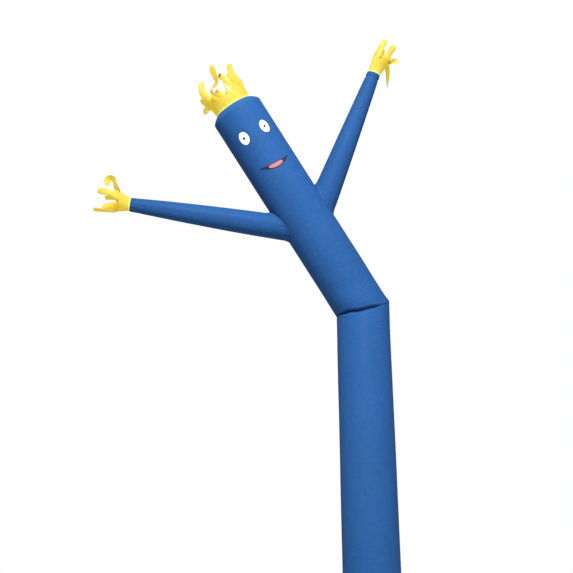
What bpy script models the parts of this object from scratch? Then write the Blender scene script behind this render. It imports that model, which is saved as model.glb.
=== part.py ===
"""Inflatable air dancer: a tall nylon tube that a fan blows up, with two arms, a face, and streamers for hair and hands.

The leg stands straight up from its foot sleeve, and the tube buckles once, at the knee, so the torso leans. The torso,
its arms, face and streamers are modelled upright about the knee and then tipped by parenting them to one empty.
Everything is in metres, +Z is up, the figure faces -Y, and the origin is the centre of the open foot sleeve. Left and
right are as seen from the front.
"""

from collections import namedtuple
from math import atan, cos, pi, radians, sin, tan

import bmesh
import bpy
from mathutils import Matrix, Vector

# Body tube
TUBE_RADIUS = 0.2286  # an 18 inch tube
TUBE_SIDES = 48
WALL = 0.003
SEAM_GAP = 0.0003  # clearance between two pieces that are sewn together
KNEE_HEIGHT = 3.2
LEG_STATIONS = (0.0, 0.8, 1.6, 2.3, 2.8)  # heights of the plain rings below the knee's folds

# Knee: the tube leans over towards LEAN_BEARING, counted round +Z from +X. Other bearings are counted from the front.
LEAN = radians(38.35)
LEAN_BEARING = radians(-150.5)
FOLD_DEPTH = 0.06  # how far the cloth is drawn in where it buckles
FOLD_GAP = 0.019  # half the height of the fold's mouth in front
FOLD_SHUT = 0.12  # share of that gap left where the fold is pressed shut
FOLD_FRONT = radians(5)
FOLD_OPEN_TO = radians(30)  # the mouth starts to close this far from its front, and is shut FOLD_CLOSING further on
FOLD_CLOSING = radians(55)
FOLD_SAG = 0.050  # how far the cloth hangs below the knee's slanted plane
SAG_BEARING = radians(12)
SAG_SPREAD = radians(85)
FOLD_WAVE = 0.005  # how far the lips wander up and down
FOLD_WAVES = 9
WAVE_START = 0.6
LIP_PROUD = 0.022  # the upper lip swells out over the lower one
TAUT_FLAT = 0.010  # the torso is this much flatter some way above the knee, on the taut outer side
TAUT_SPREAD = radians(70)
SLACK_FROM = radians(69)  # the cloth is taut up to this far from the outer side, and slack SLACK_OVER further on
SLACK_OVER = radians(40)
# The knee's rings. drop and rise are measured from the knee point; slant goes from 0, level, to 1, along the fold's
# line; inset, gap, proud and flat are shares of FOLD_DEPTH, FOLD_GAP, LIP_PROUD and TAUT_FLAT, and a flat below 0
# stands out.
LegFold = namedtuple("LegFold", "drop slant inset gap flat")
LEG_FOLDS = (
    LegFold(0.26, 0.5, 0, 0, 0),
    LegFold(0.09, 1, 0, 0, -0.5),
    LegFold(0.008, 1, 0, 1, -0.6),
    LegFold(0.004, 1, 1, 0, -0.6),
    LegFold(-0.004, 1, 1, 0, -0.6),
)
TorsoFold = namedtuple("TorsoFold", "rise slant proud flat gap")
TORSO_FOLDS = (
    TorsoFold(0.008, 1, 1, -0.6, 1),
    TorsoFold(0.06, 1, 1, 0.6, 0),
    TorsoFold(0.16, 0.8, 0.5, 1, 0),
    TorsoFold(0.28, 0.3, 0, 0.3, 0),
)

# Torso, measured up its own axis from the knee
TORSO_STATIONS = (0.42, 0.6, 1.15, 1.6)
SHOULDER_START = 2.022
SHOULDER_RISE = 0.0746
SHOULDER_FLAT = 0.121  # radius at which the drawn-in crown would be level
SHOULDER_POWER = 1.4  # 1 draws it in straight, 2 in a quarter of an ellipse
CROWN_OPENING = 0.168
CROWN_STEPS = 6

# Arms: a tapered tube each, its axis crossing the torso's axis at height
Arm = namedtuple("Arm", "name bearing height rise reach root_radius wrist_radius belly")
ARMS = (
    Arm("left", radians(-88), 0.79, radians(40.7), 1.577, 0.1080, 0.0575, 0.0085),
    Arm("right", radians(90), 0.82, radians(35.5), 1.490, 0.1180, 0.0571, 0.0025),
)
ARM_SIDES = 28
ARM_STEPS = 8
ARM_WALL = 0.0025
ARM_START = 0.05  # the arm's and its hole's first rings, inside the torso, and the hole's last, outside it
HOLE_START = 0.06
HOLE_END = 0.42
TRIM_SPAN = (0.1, 1.9)  # the stretch of torso that trims the arms

# Face, placed on the torso by bearing from the front and height above the knee
EYE_BEARING = radians(26.5)
EYE_HEIGHT = 1.769
EYE_WIDTH = 0.098
EYE_LENGTH = 0.132
PUPIL_SIZE = 0.022
PATCH_THICKNESS = 0.001
PATCH_BLANK = 0.3  # length of the prism that a patch is cut from
PATCH_SPAN = (1.2, 1.95)  # the stretch of torso that carries the patches
OVAL_SIDES = 24
MOUTH_HALF_WIDTH = 0.136
MOUTH_CORNER_HEIGHT = 1.473
MOUTH_TOP_DIP = 0.013  # how far the upper edge sags below the corners
MOUTH_BOTTOM_DIP = 0.058
MOUTH_STEPS = 16
TONGUE_HALF_WIDTH = 0.069
TONGUE_MARGIN = 0.003  # dark edge left above and below the tongue

# Streamers: a collar sewn inside an opening and slit into strips. The collar flares by flare all round, and by bias
# more on its side at toward, counted round the opening from the front; the flare grows as its height to FLARE_POWER.
STREAMER_THICKNESS = 0.002
COLLAR_TUCK = 0.03  # how far the collar reaches inside its opening
COLLAR_STEPS = 4
FLARE_POWER = 1.5
SLIT = 0.005
STRIP_STEPS = 9
STRIP_BEND = 0.4  # share of its length over which a strip turns from its collar's slope to its own lean
Collar = namedtuple("Collar", "height flare bias toward strip_width")
COLLARS = {
    "hair": Collar(0.10, 0.008, 0.004, radians(-110), 0.050),
    "left": Collar(0.115, 0.037, 0.015, radians(170), 0.052),
    "right": Collar(0.135, 0.024, 0.023, radians(-30), 0.052),
}
# One row a strip, going round from the front towards the right. Turns are in degrees: it leans outwards by lean past
# its bend and by tip at its end, and it is swung round by sway and twisted by twist at its end. The twist grows as the
# share of its length to the power ease, and kink is a sideways bend that comes and goes in its middle.
Strip = namedtuple("Strip", "length lean tip sway twist kink ease", defaults=(0, 1))
KINK_START = 0.12  # the share of the strip's length where its kink starts, and that where it has gone
KINK_END = 0.62
KINK_TURN = 0.2  # share of the length over which the kink comes, and over which it goes
STREAMERS = {
    "hair": (
        Strip(0.115, -8, -20, 20, 85, ease=0.3),
        Strip(0.175, -7, -12, -24, -40),
        Strip(0.15, 4, 0, -20, -30),
        Strip(0.225, -2, -4, -2, -60, ease=0.5),
        Strip(0.078, 2, 4, -6, 35),
        Strip(0.075, 4, 8, 8, 50),
        Strip(0.13, 4, 10, -10, -25),
        Strip(0.20, 26, 50, 8, 40),
        Strip(0.22, 58, 98, -10, 20),
        Strip(0.24, 62, 96, 10, -30),
        Strip(0.21, 58, 102, -6, 30),
        Strip(0.13, 50, 100, 8, -20),
        Strip(0.10, 60, 205, -4, 50),
        Strip(0.115, 16, 6, 0, 70, ease=0.5),
        Strip(0.245, -6, -42, -6, 85, ease=0.5),
        Strip(0.13, 12, -10, -6, 60, ease=0.6),
        Strip(0.335, 4, 0, 19, 178, kink=78, ease=0.46),
        Strip(0.074, -12, -14, -34, 45),
    ),
    "left": (
        Strip(0.195, 3, 2, 4, 32, ease=0.5),
        Strip(0.12, 16, 18, -14, 60),
        Strip(0.175, 2, -2, 6, -50),
        Strip(0.24, 71, -122, 6, 50),
        Strip(0.14, 20, -4, 22, -30),
        Strip(0.15, 10, 22, -10, 40),
    ),
    "right": (
        Strip(0.100, 50, 54, 2, 80, ease=0.4),
        Strip(0.31, 118, 172, 14, 35),
        Strip(0.15, 8, 10, -46, 10),
        Strip(0.05, 0, -6, 4, -30),
        Strip(0.17, -4, -12, 6, 15),
        Strip(0.145, 6, 10, 10, -35),
    ),
}

# Finishes: colour, roughness
Finish = namedtuple("Finish", "name colour roughness")
BLUE_NYLON = Finish("blue nylon", (0.035, 0.165, 0.48, 1), 0.45)
YELLOW_NYLON = Finish("yellow nylon", (0.95, 0.72, 0.04, 1), 0.5)
WHITE_PATCH = Finish("white patch", (0.9, 0.9, 0.9, 1), 0.5)
DARK_PATCH = Finish("dark patch", (0.02, 0.015, 0.015, 1), 0.5)
PINK_PATCH = Finish("pink patch", (0.8, 0.25, 0.28, 1), 0.5)

UP = Vector((0, 0, 1))
LEAN_WAY = Vector((cos(LEAN_BEARING), sin(LEAN_BEARING), 0))
TIP = Matrix.Translation((0, 0, KNEE_HEIGHT)) @ Matrix.Rotation(LEAN, 4, UP.cross(LEAN_WAY))


def clear_scene():
    for obj in list(bpy.data.objects):
        bpy.data.objects.remove(obj, do_unlink=True)


def smoothstep(value):
    value = min(max(value, 0.0), 1.0)
    return value * value * (3 - 2 * value)


def material(finish):
    found = bpy.data.materials.get(finish.name)
    if found:
        return found
    made = bpy.data.materials.new(finish.name)
    made.use_nodes = True
    shader = made.node_tree.nodes["Principled BSDF"]
    shader.inputs["Base Color"].default_value = finish.colour
    shader.inputs["Roughness"].default_value = finish.roughness
    shader.inputs["Metallic"].default_value = 0.0
    return made


def add_object(name, bm, finish, parent=None):
    mesh = bpy.data.meshes.new(name)
    bm.to_mesh(mesh)
    bm.free()
    obj = bpy.data.objects.new(name, mesh)
    bpy.context.scene.collection.objects.link(obj)
    obj.parent = parent
    if finish:
        mesh.materials.append(material(finish))
    return obj


def make_cutter(name, bm, parent=None):
    """A shape that only cuts or trims others: it stays out of the model."""
    obj = add_object(name, bm, None, parent)
    obj.hide_render = True
    obj.display_type = "WIRE"
    return obj


def thicken(obj, thickness):
    """Gives a single layer of cloth its thickness, on the inner side."""
    solidify = obj.modifiers.new("cloth", "SOLIDIFY")
    solidify.thickness = thickness
    solidify.offset = -1
    solidify.use_even_offset = True


def cut(obj, cutter, operation="DIFFERENCE"):
    boolean = obj.modifiers.new(cutter.name, "BOOLEAN")
    boolean.operation = operation
    boolean.object = cutter


def open_edges(bm):
    return [edge for edge in bm.edges if edge.is_boundary]


def start_ring(bm, sides, ring_point):
    """Starts a tube with one open ring, whose points come from ring_point(angle)."""
    made = bmesh.ops.create_circle(bm, segments=sides, radius=1.0, cap_ends=False)
    for index, vert in enumerate(made["verts"]):
        vert.co = ring_point(2 * pi * index / sides)
    return made["verts"]


def next_ring(bm, verts, ring_point):
    """Extrudes the tube's last ring and moves the new one to ring_point(angle)."""
    ring = set(verts)
    edges = [edge for edge in bm.edges if edge.verts[0] in ring and edge.verts[1] in ring]
    made = bmesh.ops.extrude_edge_only(bm, edges=edges)
    new = [item for item in made["geom"] if isinstance(item, bmesh.types.BMVert)]
    ordered = []
    for vert in verts:
        twin = min(new, key=lambda candidate: (candidate.co - vert.co).length_squared)
        ordered.append(twin)
    for index, vert in enumerate(ordered):
        vert.co = ring_point(2 * pi * index / len(verts))
    return ordered


def loft(bm, sides, ring_points, cap=False):
    """A tube through a list of ring functions, closed at both ends if cap is set."""
    verts = start_ring(bm, sides, ring_points[0])
    for ring_point in ring_points[1:]:
        verts = next_ring(bm, verts, ring_point)
    if cap:
        bmesh.ops.holes_fill(bm, edges=open_edges(bm))
    bmesh.ops.recalc_face_normals(bm, faces=bm.faces)


def around(angle):
    """The level direction at an angle round the tube: 0 is the front, and it grows towards the right."""
    return Vector((sin(angle), -cos(angle), 0))


def slack(angle):
    """How much the tube is buckled at the knee, round the tube: 0 on the taut outer side, 1 past it."""
    from_taut = around(angle).angle(-LEAN_WAY)
    return smoothstep((from_taut - SLACK_FROM) / SLACK_OVER)


def fold_mouth(angle):
    """How open the fold is: widest in front, pressed shut on the side that the torso leans to."""
    shut = smoothstep((around(angle).angle(around(FOLD_FRONT)) - FOLD_OPEN_TO) / FOLD_CLOSING)
    return slack(angle) * (1 - (1 - FOLD_SHUT) * shut)


def fold_sag(angle):
    """How far the fold's line hangs below the knee's slanted plane."""
    away = around(angle).angle(around(SAG_BEARING))
    return FOLD_SAG * (1 - smoothstep(away / SAG_SPREAD))


def lip_wander(angle):
    return FOLD_WAVE * fold_mouth(angle) * sin(FOLD_WAVES * angle + WAVE_START)


def mitre_drop(angle, radius):
    """How far the knee's slanted plane lies below the knee point at this place."""
    return tan(LEAN / 2) * radius * around(angle).dot(LEAN_WAY)


def taut_flat(angle):
    """How far a fold whose flat is 1 lies below the tube's own radius: most on the taut outer side."""
    return TAUT_FLAT * (1 - smoothstep(around(angle).angle(-LEAN_WAY) / TAUT_SPREAD))


def leg_ring(fold):
    def ring_point(angle):
        radius = TUBE_RADIUS - fold.inset * FOLD_DEPTH * slack(angle) - fold.flat * taut_flat(angle)
        height = fold.slant * (lip_wander(angle) - mitre_drop(angle, radius) - fold_sag(angle)) - fold.drop
        height -= fold.gap * FOLD_GAP * fold_mouth(angle)
        return around(angle) * radius + UP * (KNEE_HEIGHT + height)

    return ring_point


def torso_ring(fold, radius=TUBE_RADIUS):
    """A ring of the torso, worked out upright above the knee and then tipped."""

    def ring_point(angle):
        out = radius + fold.proud * LIP_PROUD * fold_mouth(angle) - fold.flat * taut_flat(angle)
        height = fold.slant * (lip_wander(angle) + mitre_drop(angle, out) - fold_sag(angle)) + fold.rise
        height += fold.gap * FOLD_GAP * fold_mouth(angle)
        return TIP @ (around(angle) * out + UP * height)

    return ring_point


def plain_torso_ring(rise, radius=TUBE_RADIUS):
    return torso_ring(TorsoFold(rise, 0, 0, 0, 0), radius)


def crown_height(radius):
    """The height up the torso at which the drawn-in crown has this radius."""
    across = (radius - SHOULDER_FLAT) / (TUBE_RADIUS - SHOULDER_FLAT)
    return SHOULDER_START + SHOULDER_RISE * max(0.0, 1 - across**SHOULDER_POWER) ** (1 / SHOULDER_POWER)


def crown_ring(step):
    """One ring of the drawn-in crown, from the full tube to its opening."""
    radius = CROWN_OPENING + (TUBE_RADIUS - CROWN_OPENING) * cos(step / CROWN_STEPS * pi / 2)
    return plain_torso_ring(crown_height(radius), radius)


def body_rings():
    rings = [leg_ring(LegFold(KNEE_HEIGHT - height, 0, 0, 0, 0)) for height in LEG_STATIONS]
    rings += [leg_ring(fold) for fold in LEG_FOLDS]
    rings += [torso_ring(fold) for fold in TORSO_FOLDS]
    rings += [plain_torso_ring(rise) for rise in TORSO_STATIONS]
    rings += [crown_ring(step) for step in range(CROWN_STEPS + 1)]
    return rings


def arm_axis(arm):
    level = around(arm.bearing) * cos(arm.rise)
    return level + UP * sin(arm.rise)


def arm_radius(arm, share):
    straight = arm.root_radius + (arm.wrist_radius - arm.root_radius) * share
    return straight + arm.belly * 4 * share * (1 - share)


def arm_frame(arm):
    """Stands at the arm's axis on the torso's axis: Z along the arm, X level, Y away from the front."""
    along = arm_axis(arm)
    across = UP.cross(along).normalized()
    frame = Matrix((across, along.cross(across), along)).transposed().to_4x4()
    return Matrix.Translation(UP * arm.height) @ frame


def arm_ring(arm, distance, inset=0.0):
    """A ring round the arm's axis, at a distance from the torso's axis."""
    root = TUBE_RADIUS / cos(arm.rise)
    share = max(0.0, (distance - root) / (arm.reach - root))
    radius = arm_radius(arm, share) - inset
    frame = arm_frame(arm)

    def ring_point(angle):
        return frame @ Vector((cos(angle) * radius, sin(angle) * radius, distance))

    return ring_point


def torso_plug(name, radius, parent):
    """A solid stretch of the torso, the same sides as the tube, to trim what is sewn onto it."""
    bm = bmesh.new()
    rings = [lambda angle, rise=rise: around(angle) * radius + UP * rise for rise in TRIM_SPAN]
    loft(bm, TUBE_SIDES, rings, cap=True)
    return make_cutter(name, bm, parent)


def build_body(torso):
    bm = bmesh.new()
    loft(bm, TUBE_SIDES, body_rings())
    body = add_object("body", bm, BLUE_NYLON)
    thicken(body, WALL)
    for arm in ARMS:
        bore = bmesh.new()
        rings = [arm_ring(arm, distance, ARM_WALL + SEAM_GAP) for distance in (HOLE_START, HOLE_END)]
        loft(bore, ARM_SIDES, rings, cap=True)
        cut(body, make_cutter(f"arm_hole_{arm.name}", bore, torso))


def build_arm(arm, torso, torso_skin):
    bm = bmesh.new()
    distances = [ARM_START + (arm.reach - ARM_START) * step / ARM_STEPS for step in range(ARM_STEPS + 1)]
    loft(bm, ARM_SIDES, [arm_ring(arm, distance) for distance in distances])
    sleeve = add_object(f"arm_{arm.name}", bm, BLUE_NYLON, torso)
    thicken(sleeve, ARM_WALL)
    cut(sleeve, torso_skin)


def strip_path(strip, root_lean):
    """Yields each step of a strip in its root's frame, X out, Y across, Z on: its place, its width's direction, and how
    far it has gone from its root's width to its own."""
    place = Vector((0, 0, 0))
    step = strip.length / STRIP_STEPS
    for number in range(1, STRIP_STEPS + 1):
        share = number / STRIP_STEPS
        settled = smoothstep(share / STRIP_BEND)
        lean = root_lean + (radians(strip.lean) - root_lean) * settled
        lean += radians(strip.tip - strip.lean) * smoothstep((share - STRIP_BEND) / (1 - STRIP_BEND))
        kinked = smoothstep((share - KINK_START) / KINK_TURN) * smoothstep((KINK_END - share) / KINK_TURN)
        sway = radians(strip.sway * share + strip.kink * kinked)
        twist = radians(strip.twist * share**strip.ease)
        run = Vector((sin(lean), cos(lean) * sin(sway), cos(lean) * cos(sway)))
        width = Matrix.Rotation(twist, 3, run) @ Vector((0, cos(sway), -sin(sway)))
        place = place + run * step
        yield place, width, settled


def grow_strip(bm, edge, strip, root_lean, strip_width):
    """Extrudes one strip from an edge at the top of a collar."""
    first, second = edge.verts
    middle = (first.co + second.co) / 2
    out = Vector((middle.x, middle.y, 0)).normalized()
    across = UP.cross(out)
    if (second.co - first.co).dot(across) < 0:
        first, second = second, first
    root_half = (second.co - first.co).length / 2
    frame = Matrix((out, across, UP)).transposed()
    for place, width, settled in strip_path(strip, root_lean):
        made = bmesh.ops.extrude_edge_only(bm, edges=[edge])
        edge = next(item for item in made["geom"] if isinstance(item, bmesh.types.BMEdge))
        near, far = edge.verts
        if (far.co - near.co).dot(second.co - first.co) < 0:
            near, far = far, near
        half = root_half + (strip_width / 2 - root_half) * settled
        near.co = middle + frame @ (place - width * half)
        far.co = middle + frame @ (place + width * half)
        first, second = near, far


def collar_flare(collar, angle):
    return collar.flare + collar.bias * cos(angle - collar.toward)


def build_streamers(name, kind, radius, parent):
    """A collar of the given radius whose tuck is inside the opening, with one strip to each wide side."""
    bm = bmesh.new()
    collar = COLLARS[kind]
    strips = STREAMERS[kind]
    pitch = 2 * pi / len(strips)
    half = (pitch - SLIT / radius) / 2
    sides = 2 * len(strips)

    def ring(height, share=0.0):
        def ring_point(angle):
            index = round(angle / (2 * pi) * sides)
            turn = pitch * (index // 2) + (half if index % 2 else -half)
            return around(turn) * (radius + collar_flare(collar, turn) * share**FLARE_POWER) + UP * height

        return ring_point

    verts = start_ring(bm, sides, ring(-COLLAR_TUCK))
    for step in range(COLLAR_STEPS + 1):
        share = step / COLLAR_STEPS
        verts = next_ring(bm, verts, ring(collar.height * share, share))
    for number, strip in enumerate(strips):
        edge = bm.edges.get((verts[2 * number], verts[2 * number + 1]))
        slope = FLARE_POWER * collar_flare(collar, pitch * number) / collar.height
        grow_strip(bm, edge, strip, atan(slope), collar.strip_width)
    bmesh.ops.recalc_face_normals(bm, faces=bm.faces)
    streamers = add_object(name, bm, YELLOW_NYLON, parent)
    thicken(streamers, STREAMER_THICKNESS)
    return streamers


def build_hair(torso):
    radius = (CROWN_OPENING - WALL) * cos(pi / TUBE_SIDES) - 2 * SEAM_GAP
    hair = build_streamers("hair", "hair", radius, torso)
    hair.matrix_local = Matrix.Translation(UP * crown_height(CROWN_OPENING))


def build_hand(arm, torso):
    radius = (arm.wrist_radius - ARM_WALL) * cos(pi / ARM_SIDES) - 2 * SEAM_GAP
    hand = build_streamers(f"hand_{arm.name}", arm.name, radius, torso)
    hand.matrix_local = arm_frame(arm) @ Matrix.Translation(UP * arm.reach)


def skin_layer(name, layer, torso):
    """A thin shell round the head: layer 0 lies on the tube, layer 1 on layer 0."""
    lift = SEAM_GAP + layer * (PATCH_THICKNESS + SEAM_GAP)
    inner = TUBE_RADIUS + lift / cos(pi / TUBE_SIDES)
    bm = bmesh.new()
    rings = [lambda angle, rise=rise: around(angle) * inner + UP * rise for rise in PATCH_SPAN]
    loft(bm, TUBE_SIDES, rings)
    shell = make_cutter(name, bm, torso)
    thicken(shell, PATCH_THICKNESS)
    shell.modifiers["cloth"].offset = 1
    return shell


def patch_blank(name, outline, bearing, finish, torso):
    """A prism through the tube's wall, outline given as (across, up) points seen from outside."""
    bm = bmesh.new()
    verts = [bm.verts.new((across, 0, up)) for across, up in outline]
    face = bm.faces.new(verts)
    made = bmesh.ops.extrude_face_region(bm, geom=[face])
    new = [item for item in made["geom"] if isinstance(item, bmesh.types.BMVert)]
    bmesh.ops.translate(bm, verts=new, vec=(0, -PATCH_BLANK, 0))
    bmesh.ops.recalc_face_normals(bm, faces=bm.faces)
    bmesh.ops.transform(bm, matrix=Matrix.Rotation(bearing, 4, "Z"), verts=bm.verts)
    return add_object(name, bm, finish, torso)


def oval(width, length, height):
    turns = [2 * pi * index / OVAL_SIDES for index in range(OVAL_SIDES)]
    return [(cos(turn) * width / 2, height + sin(turn) * length / 2) for turn in turns]


def crescent(half_width, margin):
    """The mouth's outline between two arcs, cut off at half_width and drawn in by margin above and below."""
    places = [half_width * (2 * step / MOUTH_STEPS - 1) for step in range(MOUTH_STEPS + 1)]

    def arc(dip, offset):
        return [(x, MOUTH_CORNER_HEIGHT - dip * (1 - (x / MOUTH_HALF_WIDTH) ** 2) + offset) for x in places]

    lower = arc(MOUTH_BOTTOM_DIP, margin)
    upper = arc(MOUTH_TOP_DIP, -margin)
    if lower[0] == upper[0]:
        upper = upper[1:-1]
    return lower + upper[::-1]


def build_face(torso):
    cloth_layer = skin_layer("patch_layer", 0, torso)
    top_layer = skin_layer("top_layer", 1, torso)
    for side, turn in (("left", -1), ("right", 1)):
        eye = oval(EYE_WIDTH, EYE_LENGTH, EYE_HEIGHT)
        patch = patch_blank(f"eye_{side}", eye, turn * EYE_BEARING, WHITE_PATCH, torso)
        cut(patch, cloth_layer, "INTERSECT")
        pupil = oval(PUPIL_SIZE, PUPIL_SIZE, EYE_HEIGHT)
        patch = patch_blank(f"pupil_{side}", pupil, turn * EYE_BEARING, DARK_PATCH, torso)
        cut(patch, top_layer, "INTERSECT")
    smile = crescent(MOUTH_HALF_WIDTH, 0.0)
    cut(patch_blank("mouth", smile, 0.0, DARK_PATCH, torso), cloth_layer, "INTERSECT")
    tongue = crescent(TONGUE_HALF_WIDTH, TONGUE_MARGIN)
    cut(patch_blank("tongue", tongue, 0.0, PINK_PATCH, torso), top_layer, "INTERSECT")


def smooth_round_pieces():
    for obj in bpy.context.scene.objects:
        if obj.type == "MESH":
            obj.data.shade_smooth()


def main():
    clear_scene()
    torso = bpy.data.objects.new("torso_frame", None)
    bpy.context.scene.collection.objects.link(torso)
    torso.matrix_world = TIP
    build_body(torso)
    torso_skin = torso_plug("torso_skin", TUBE_RADIUS + SEAM_GAP / cos(pi / TUBE_SIDES), torso)
    for arm in ARMS:
        build_arm(arm, torso, torso_skin)
        build_hand(arm, torso)
    build_hair(torso)
    build_face(torso)
    smooth_round_pieces()


main()
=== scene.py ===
"""Inflatable air dancer: the dressed figure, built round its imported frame.

The leg stands straight up from its foot, the tube buckles once at the knee, and the torso, arms, face
and streamers lean over with it. Everything is in metres, +Z is up, the figure faces -Y, and left and right
are as seen from the front. Bearings go round a tube from its front, 0, towards the right.
"""
import logging
from collections.abc import Callable, Iterable, Sequence
from dataclasses import dataclass
from enum import Enum
from math import asin, atan, ceil, cos, dist, hypot, pi, radians, sin, sqrt, tan

import bmesh
import bpy
from mathutils import Matrix, Vector, noise


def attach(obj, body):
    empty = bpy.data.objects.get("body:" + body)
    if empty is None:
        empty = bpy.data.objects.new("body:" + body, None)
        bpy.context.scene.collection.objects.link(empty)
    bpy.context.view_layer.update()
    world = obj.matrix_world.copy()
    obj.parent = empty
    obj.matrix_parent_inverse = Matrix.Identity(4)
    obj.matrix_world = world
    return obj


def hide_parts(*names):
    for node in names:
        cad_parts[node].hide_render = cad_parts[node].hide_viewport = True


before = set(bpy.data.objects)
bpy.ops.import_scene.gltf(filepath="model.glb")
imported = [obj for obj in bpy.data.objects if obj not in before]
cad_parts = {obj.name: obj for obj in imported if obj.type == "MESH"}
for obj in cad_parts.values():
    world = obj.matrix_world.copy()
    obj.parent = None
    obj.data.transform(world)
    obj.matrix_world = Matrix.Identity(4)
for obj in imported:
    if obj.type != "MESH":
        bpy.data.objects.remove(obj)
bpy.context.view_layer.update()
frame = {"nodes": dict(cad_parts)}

log = logging.getLogger("air_dancer")

Colour = tuple[float, float, float, float]
Place = tuple[float, float, float]
Span = tuple[float, float]
RingPoint = Callable[[float], Vector]
Distance = Callable[[float, float], float]

UP = Vector((0.0, 0.0, 1.0))
WHITE: Colour = (1.0, 1.0, 1.0, 1.0)
BODY = "root"
SEAM_GAP = 0.0003  # clearance between two cloths that are sewn together
COLLAR_GAP = 0.0009  # from a collar to the cloth of the opening that it is sewn inside


class Side(Enum):
    """The figure's two sides, as seen from the front, and which way each one lies."""

    LEFT = -1
    RIGHT = 1

    @property
    def word(self) -> str:
        """The side's part of the names of pieces and nodes."""
        return self.name.lower()


def smoothstep(value: float) -> float:
    """Eases a number from 0 to 1, flat at both ends and outside them."""
    value = min(max(value, 0.0), 1.0)
    return value * value * (3 - 2 * value)


def blend(start: float, end: float, share: float) -> float:
    """The number at a share of the way from start to end."""
    return start + (end - start) * share


def steps(start: float, end: float, count: int) -> list[float]:
    """Evenly spaced numbers after start, up to and with end."""
    return [blend(start, end, number / count) for number in range(1, count + 1)]


def spaced(start: float, end: float, pitch: float) -> list[float]:
    """Evenly spaced numbers after start, up to and with end, no more than a pitch apart."""
    return steps(start, end, ceil(abs(end - start) / pitch))


def around(angle: float) -> Vector:
    """The level direction at a bearing from the front."""
    return Vector((sin(angle), -cos(angle), 0.0))


@dataclass(frozen=True)
class Ease:
    """A smooth change beside an edge, spread over a stretch."""

    edge: float
    over: float

    def up(self, place: float) -> float:
        """0 up to the edge, easing to 1 over the stretch past it."""
        return smoothstep((place - self.edge) / self.over)

    def down(self, place: float) -> float:
        """1 far before the edge, easing to 0 over the stretch that ends at it."""
        return smoothstep((self.edge - place) / self.over)


@dataclass(frozen=True)
class Drift:
    """Soft noise over a tube, from -1 to 1: how fast it changes round it and along it, and its start."""

    turn: float
    run: float = 0.0
    start: Place = (0.0, 0.0, 0.0)

    def at(self, angle: float, height: float = 0.0) -> float:
        """The noise at a bearing and height."""
        return noise.noise(around(angle) * self.turn + UP * height * self.run + Vector(self.start))


# ----------------------------------------------------------------------------------------------------------
# Shader building


class Value:
    """A number in a shader, on which Python's arithmetic adds Math nodes."""

    def __init__(self, graph: "Graph", socket: bpy.types.NodeSocket) -> None:
        """Wraps one output socket of a graph."""
        self.graph = graph
        self.socket = socket

    def math(self, operation: str, *others: "Value | float") -> "Value":
        """Adds a Math node whose first number is this one, and gives its result."""
        return self.graph.math(operation, self, *others)

    def __add__(self, other: "Value | float") -> "Value":
        """Adds."""
        return self.math("ADD", other)

    def __radd__(self, other: float) -> "Value":
        """Adds, the number first."""
        return self.graph.math("ADD", other, self)

    def __sub__(self, other: "Value | float") -> "Value":
        """Subtracts."""
        return self.math("SUBTRACT", other)

    def __rsub__(self, other: float) -> "Value":
        """Subtracts from a number."""
        return self.graph.math("SUBTRACT", other, self)

    def __mul__(self, other: "Value | float") -> "Value":
        """Multiplies."""
        return self.math("MULTIPLY", other)

    def __rmul__(self, other: float) -> "Value":
        """Multiplies, the number first."""
        return self.graph.math("MULTIPLY", other, self)

    def __truediv__(self, other: "Value | float") -> "Value":
        """Divides."""
        return self.math("DIVIDE", other)

    def __rtruediv__(self, other: float) -> "Value":
        """Divides a number."""
        return self.graph.math("DIVIDE", other, self)

    def fade(self, start: float, end: float) -> "Value":
        """Eases from 0 where the value is start to 1 where it is end."""
        share = ((self - start) / (end - start)).math("MINIMUM", 1.0).math("MAXIMUM", 0.0)
        return share * share * (3.0 - 2.0 * share)

    def line(self, middle: float, width: float) -> "Value":
        """1 within a narrow line of this width round the value middle, easing to 0 at its edges."""
        return (self - middle).math("ABSOLUTE").fade(width / 2, width / 4)


@dataclass(frozen=True)
class Clouds:
    """Cloudy noise of a finish: clouds to the metre, finer octaves, and how much closer along each axis."""

    scale: float
    detail: float
    squeeze: Place = (1.0, 1.0, 1.0)


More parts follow.
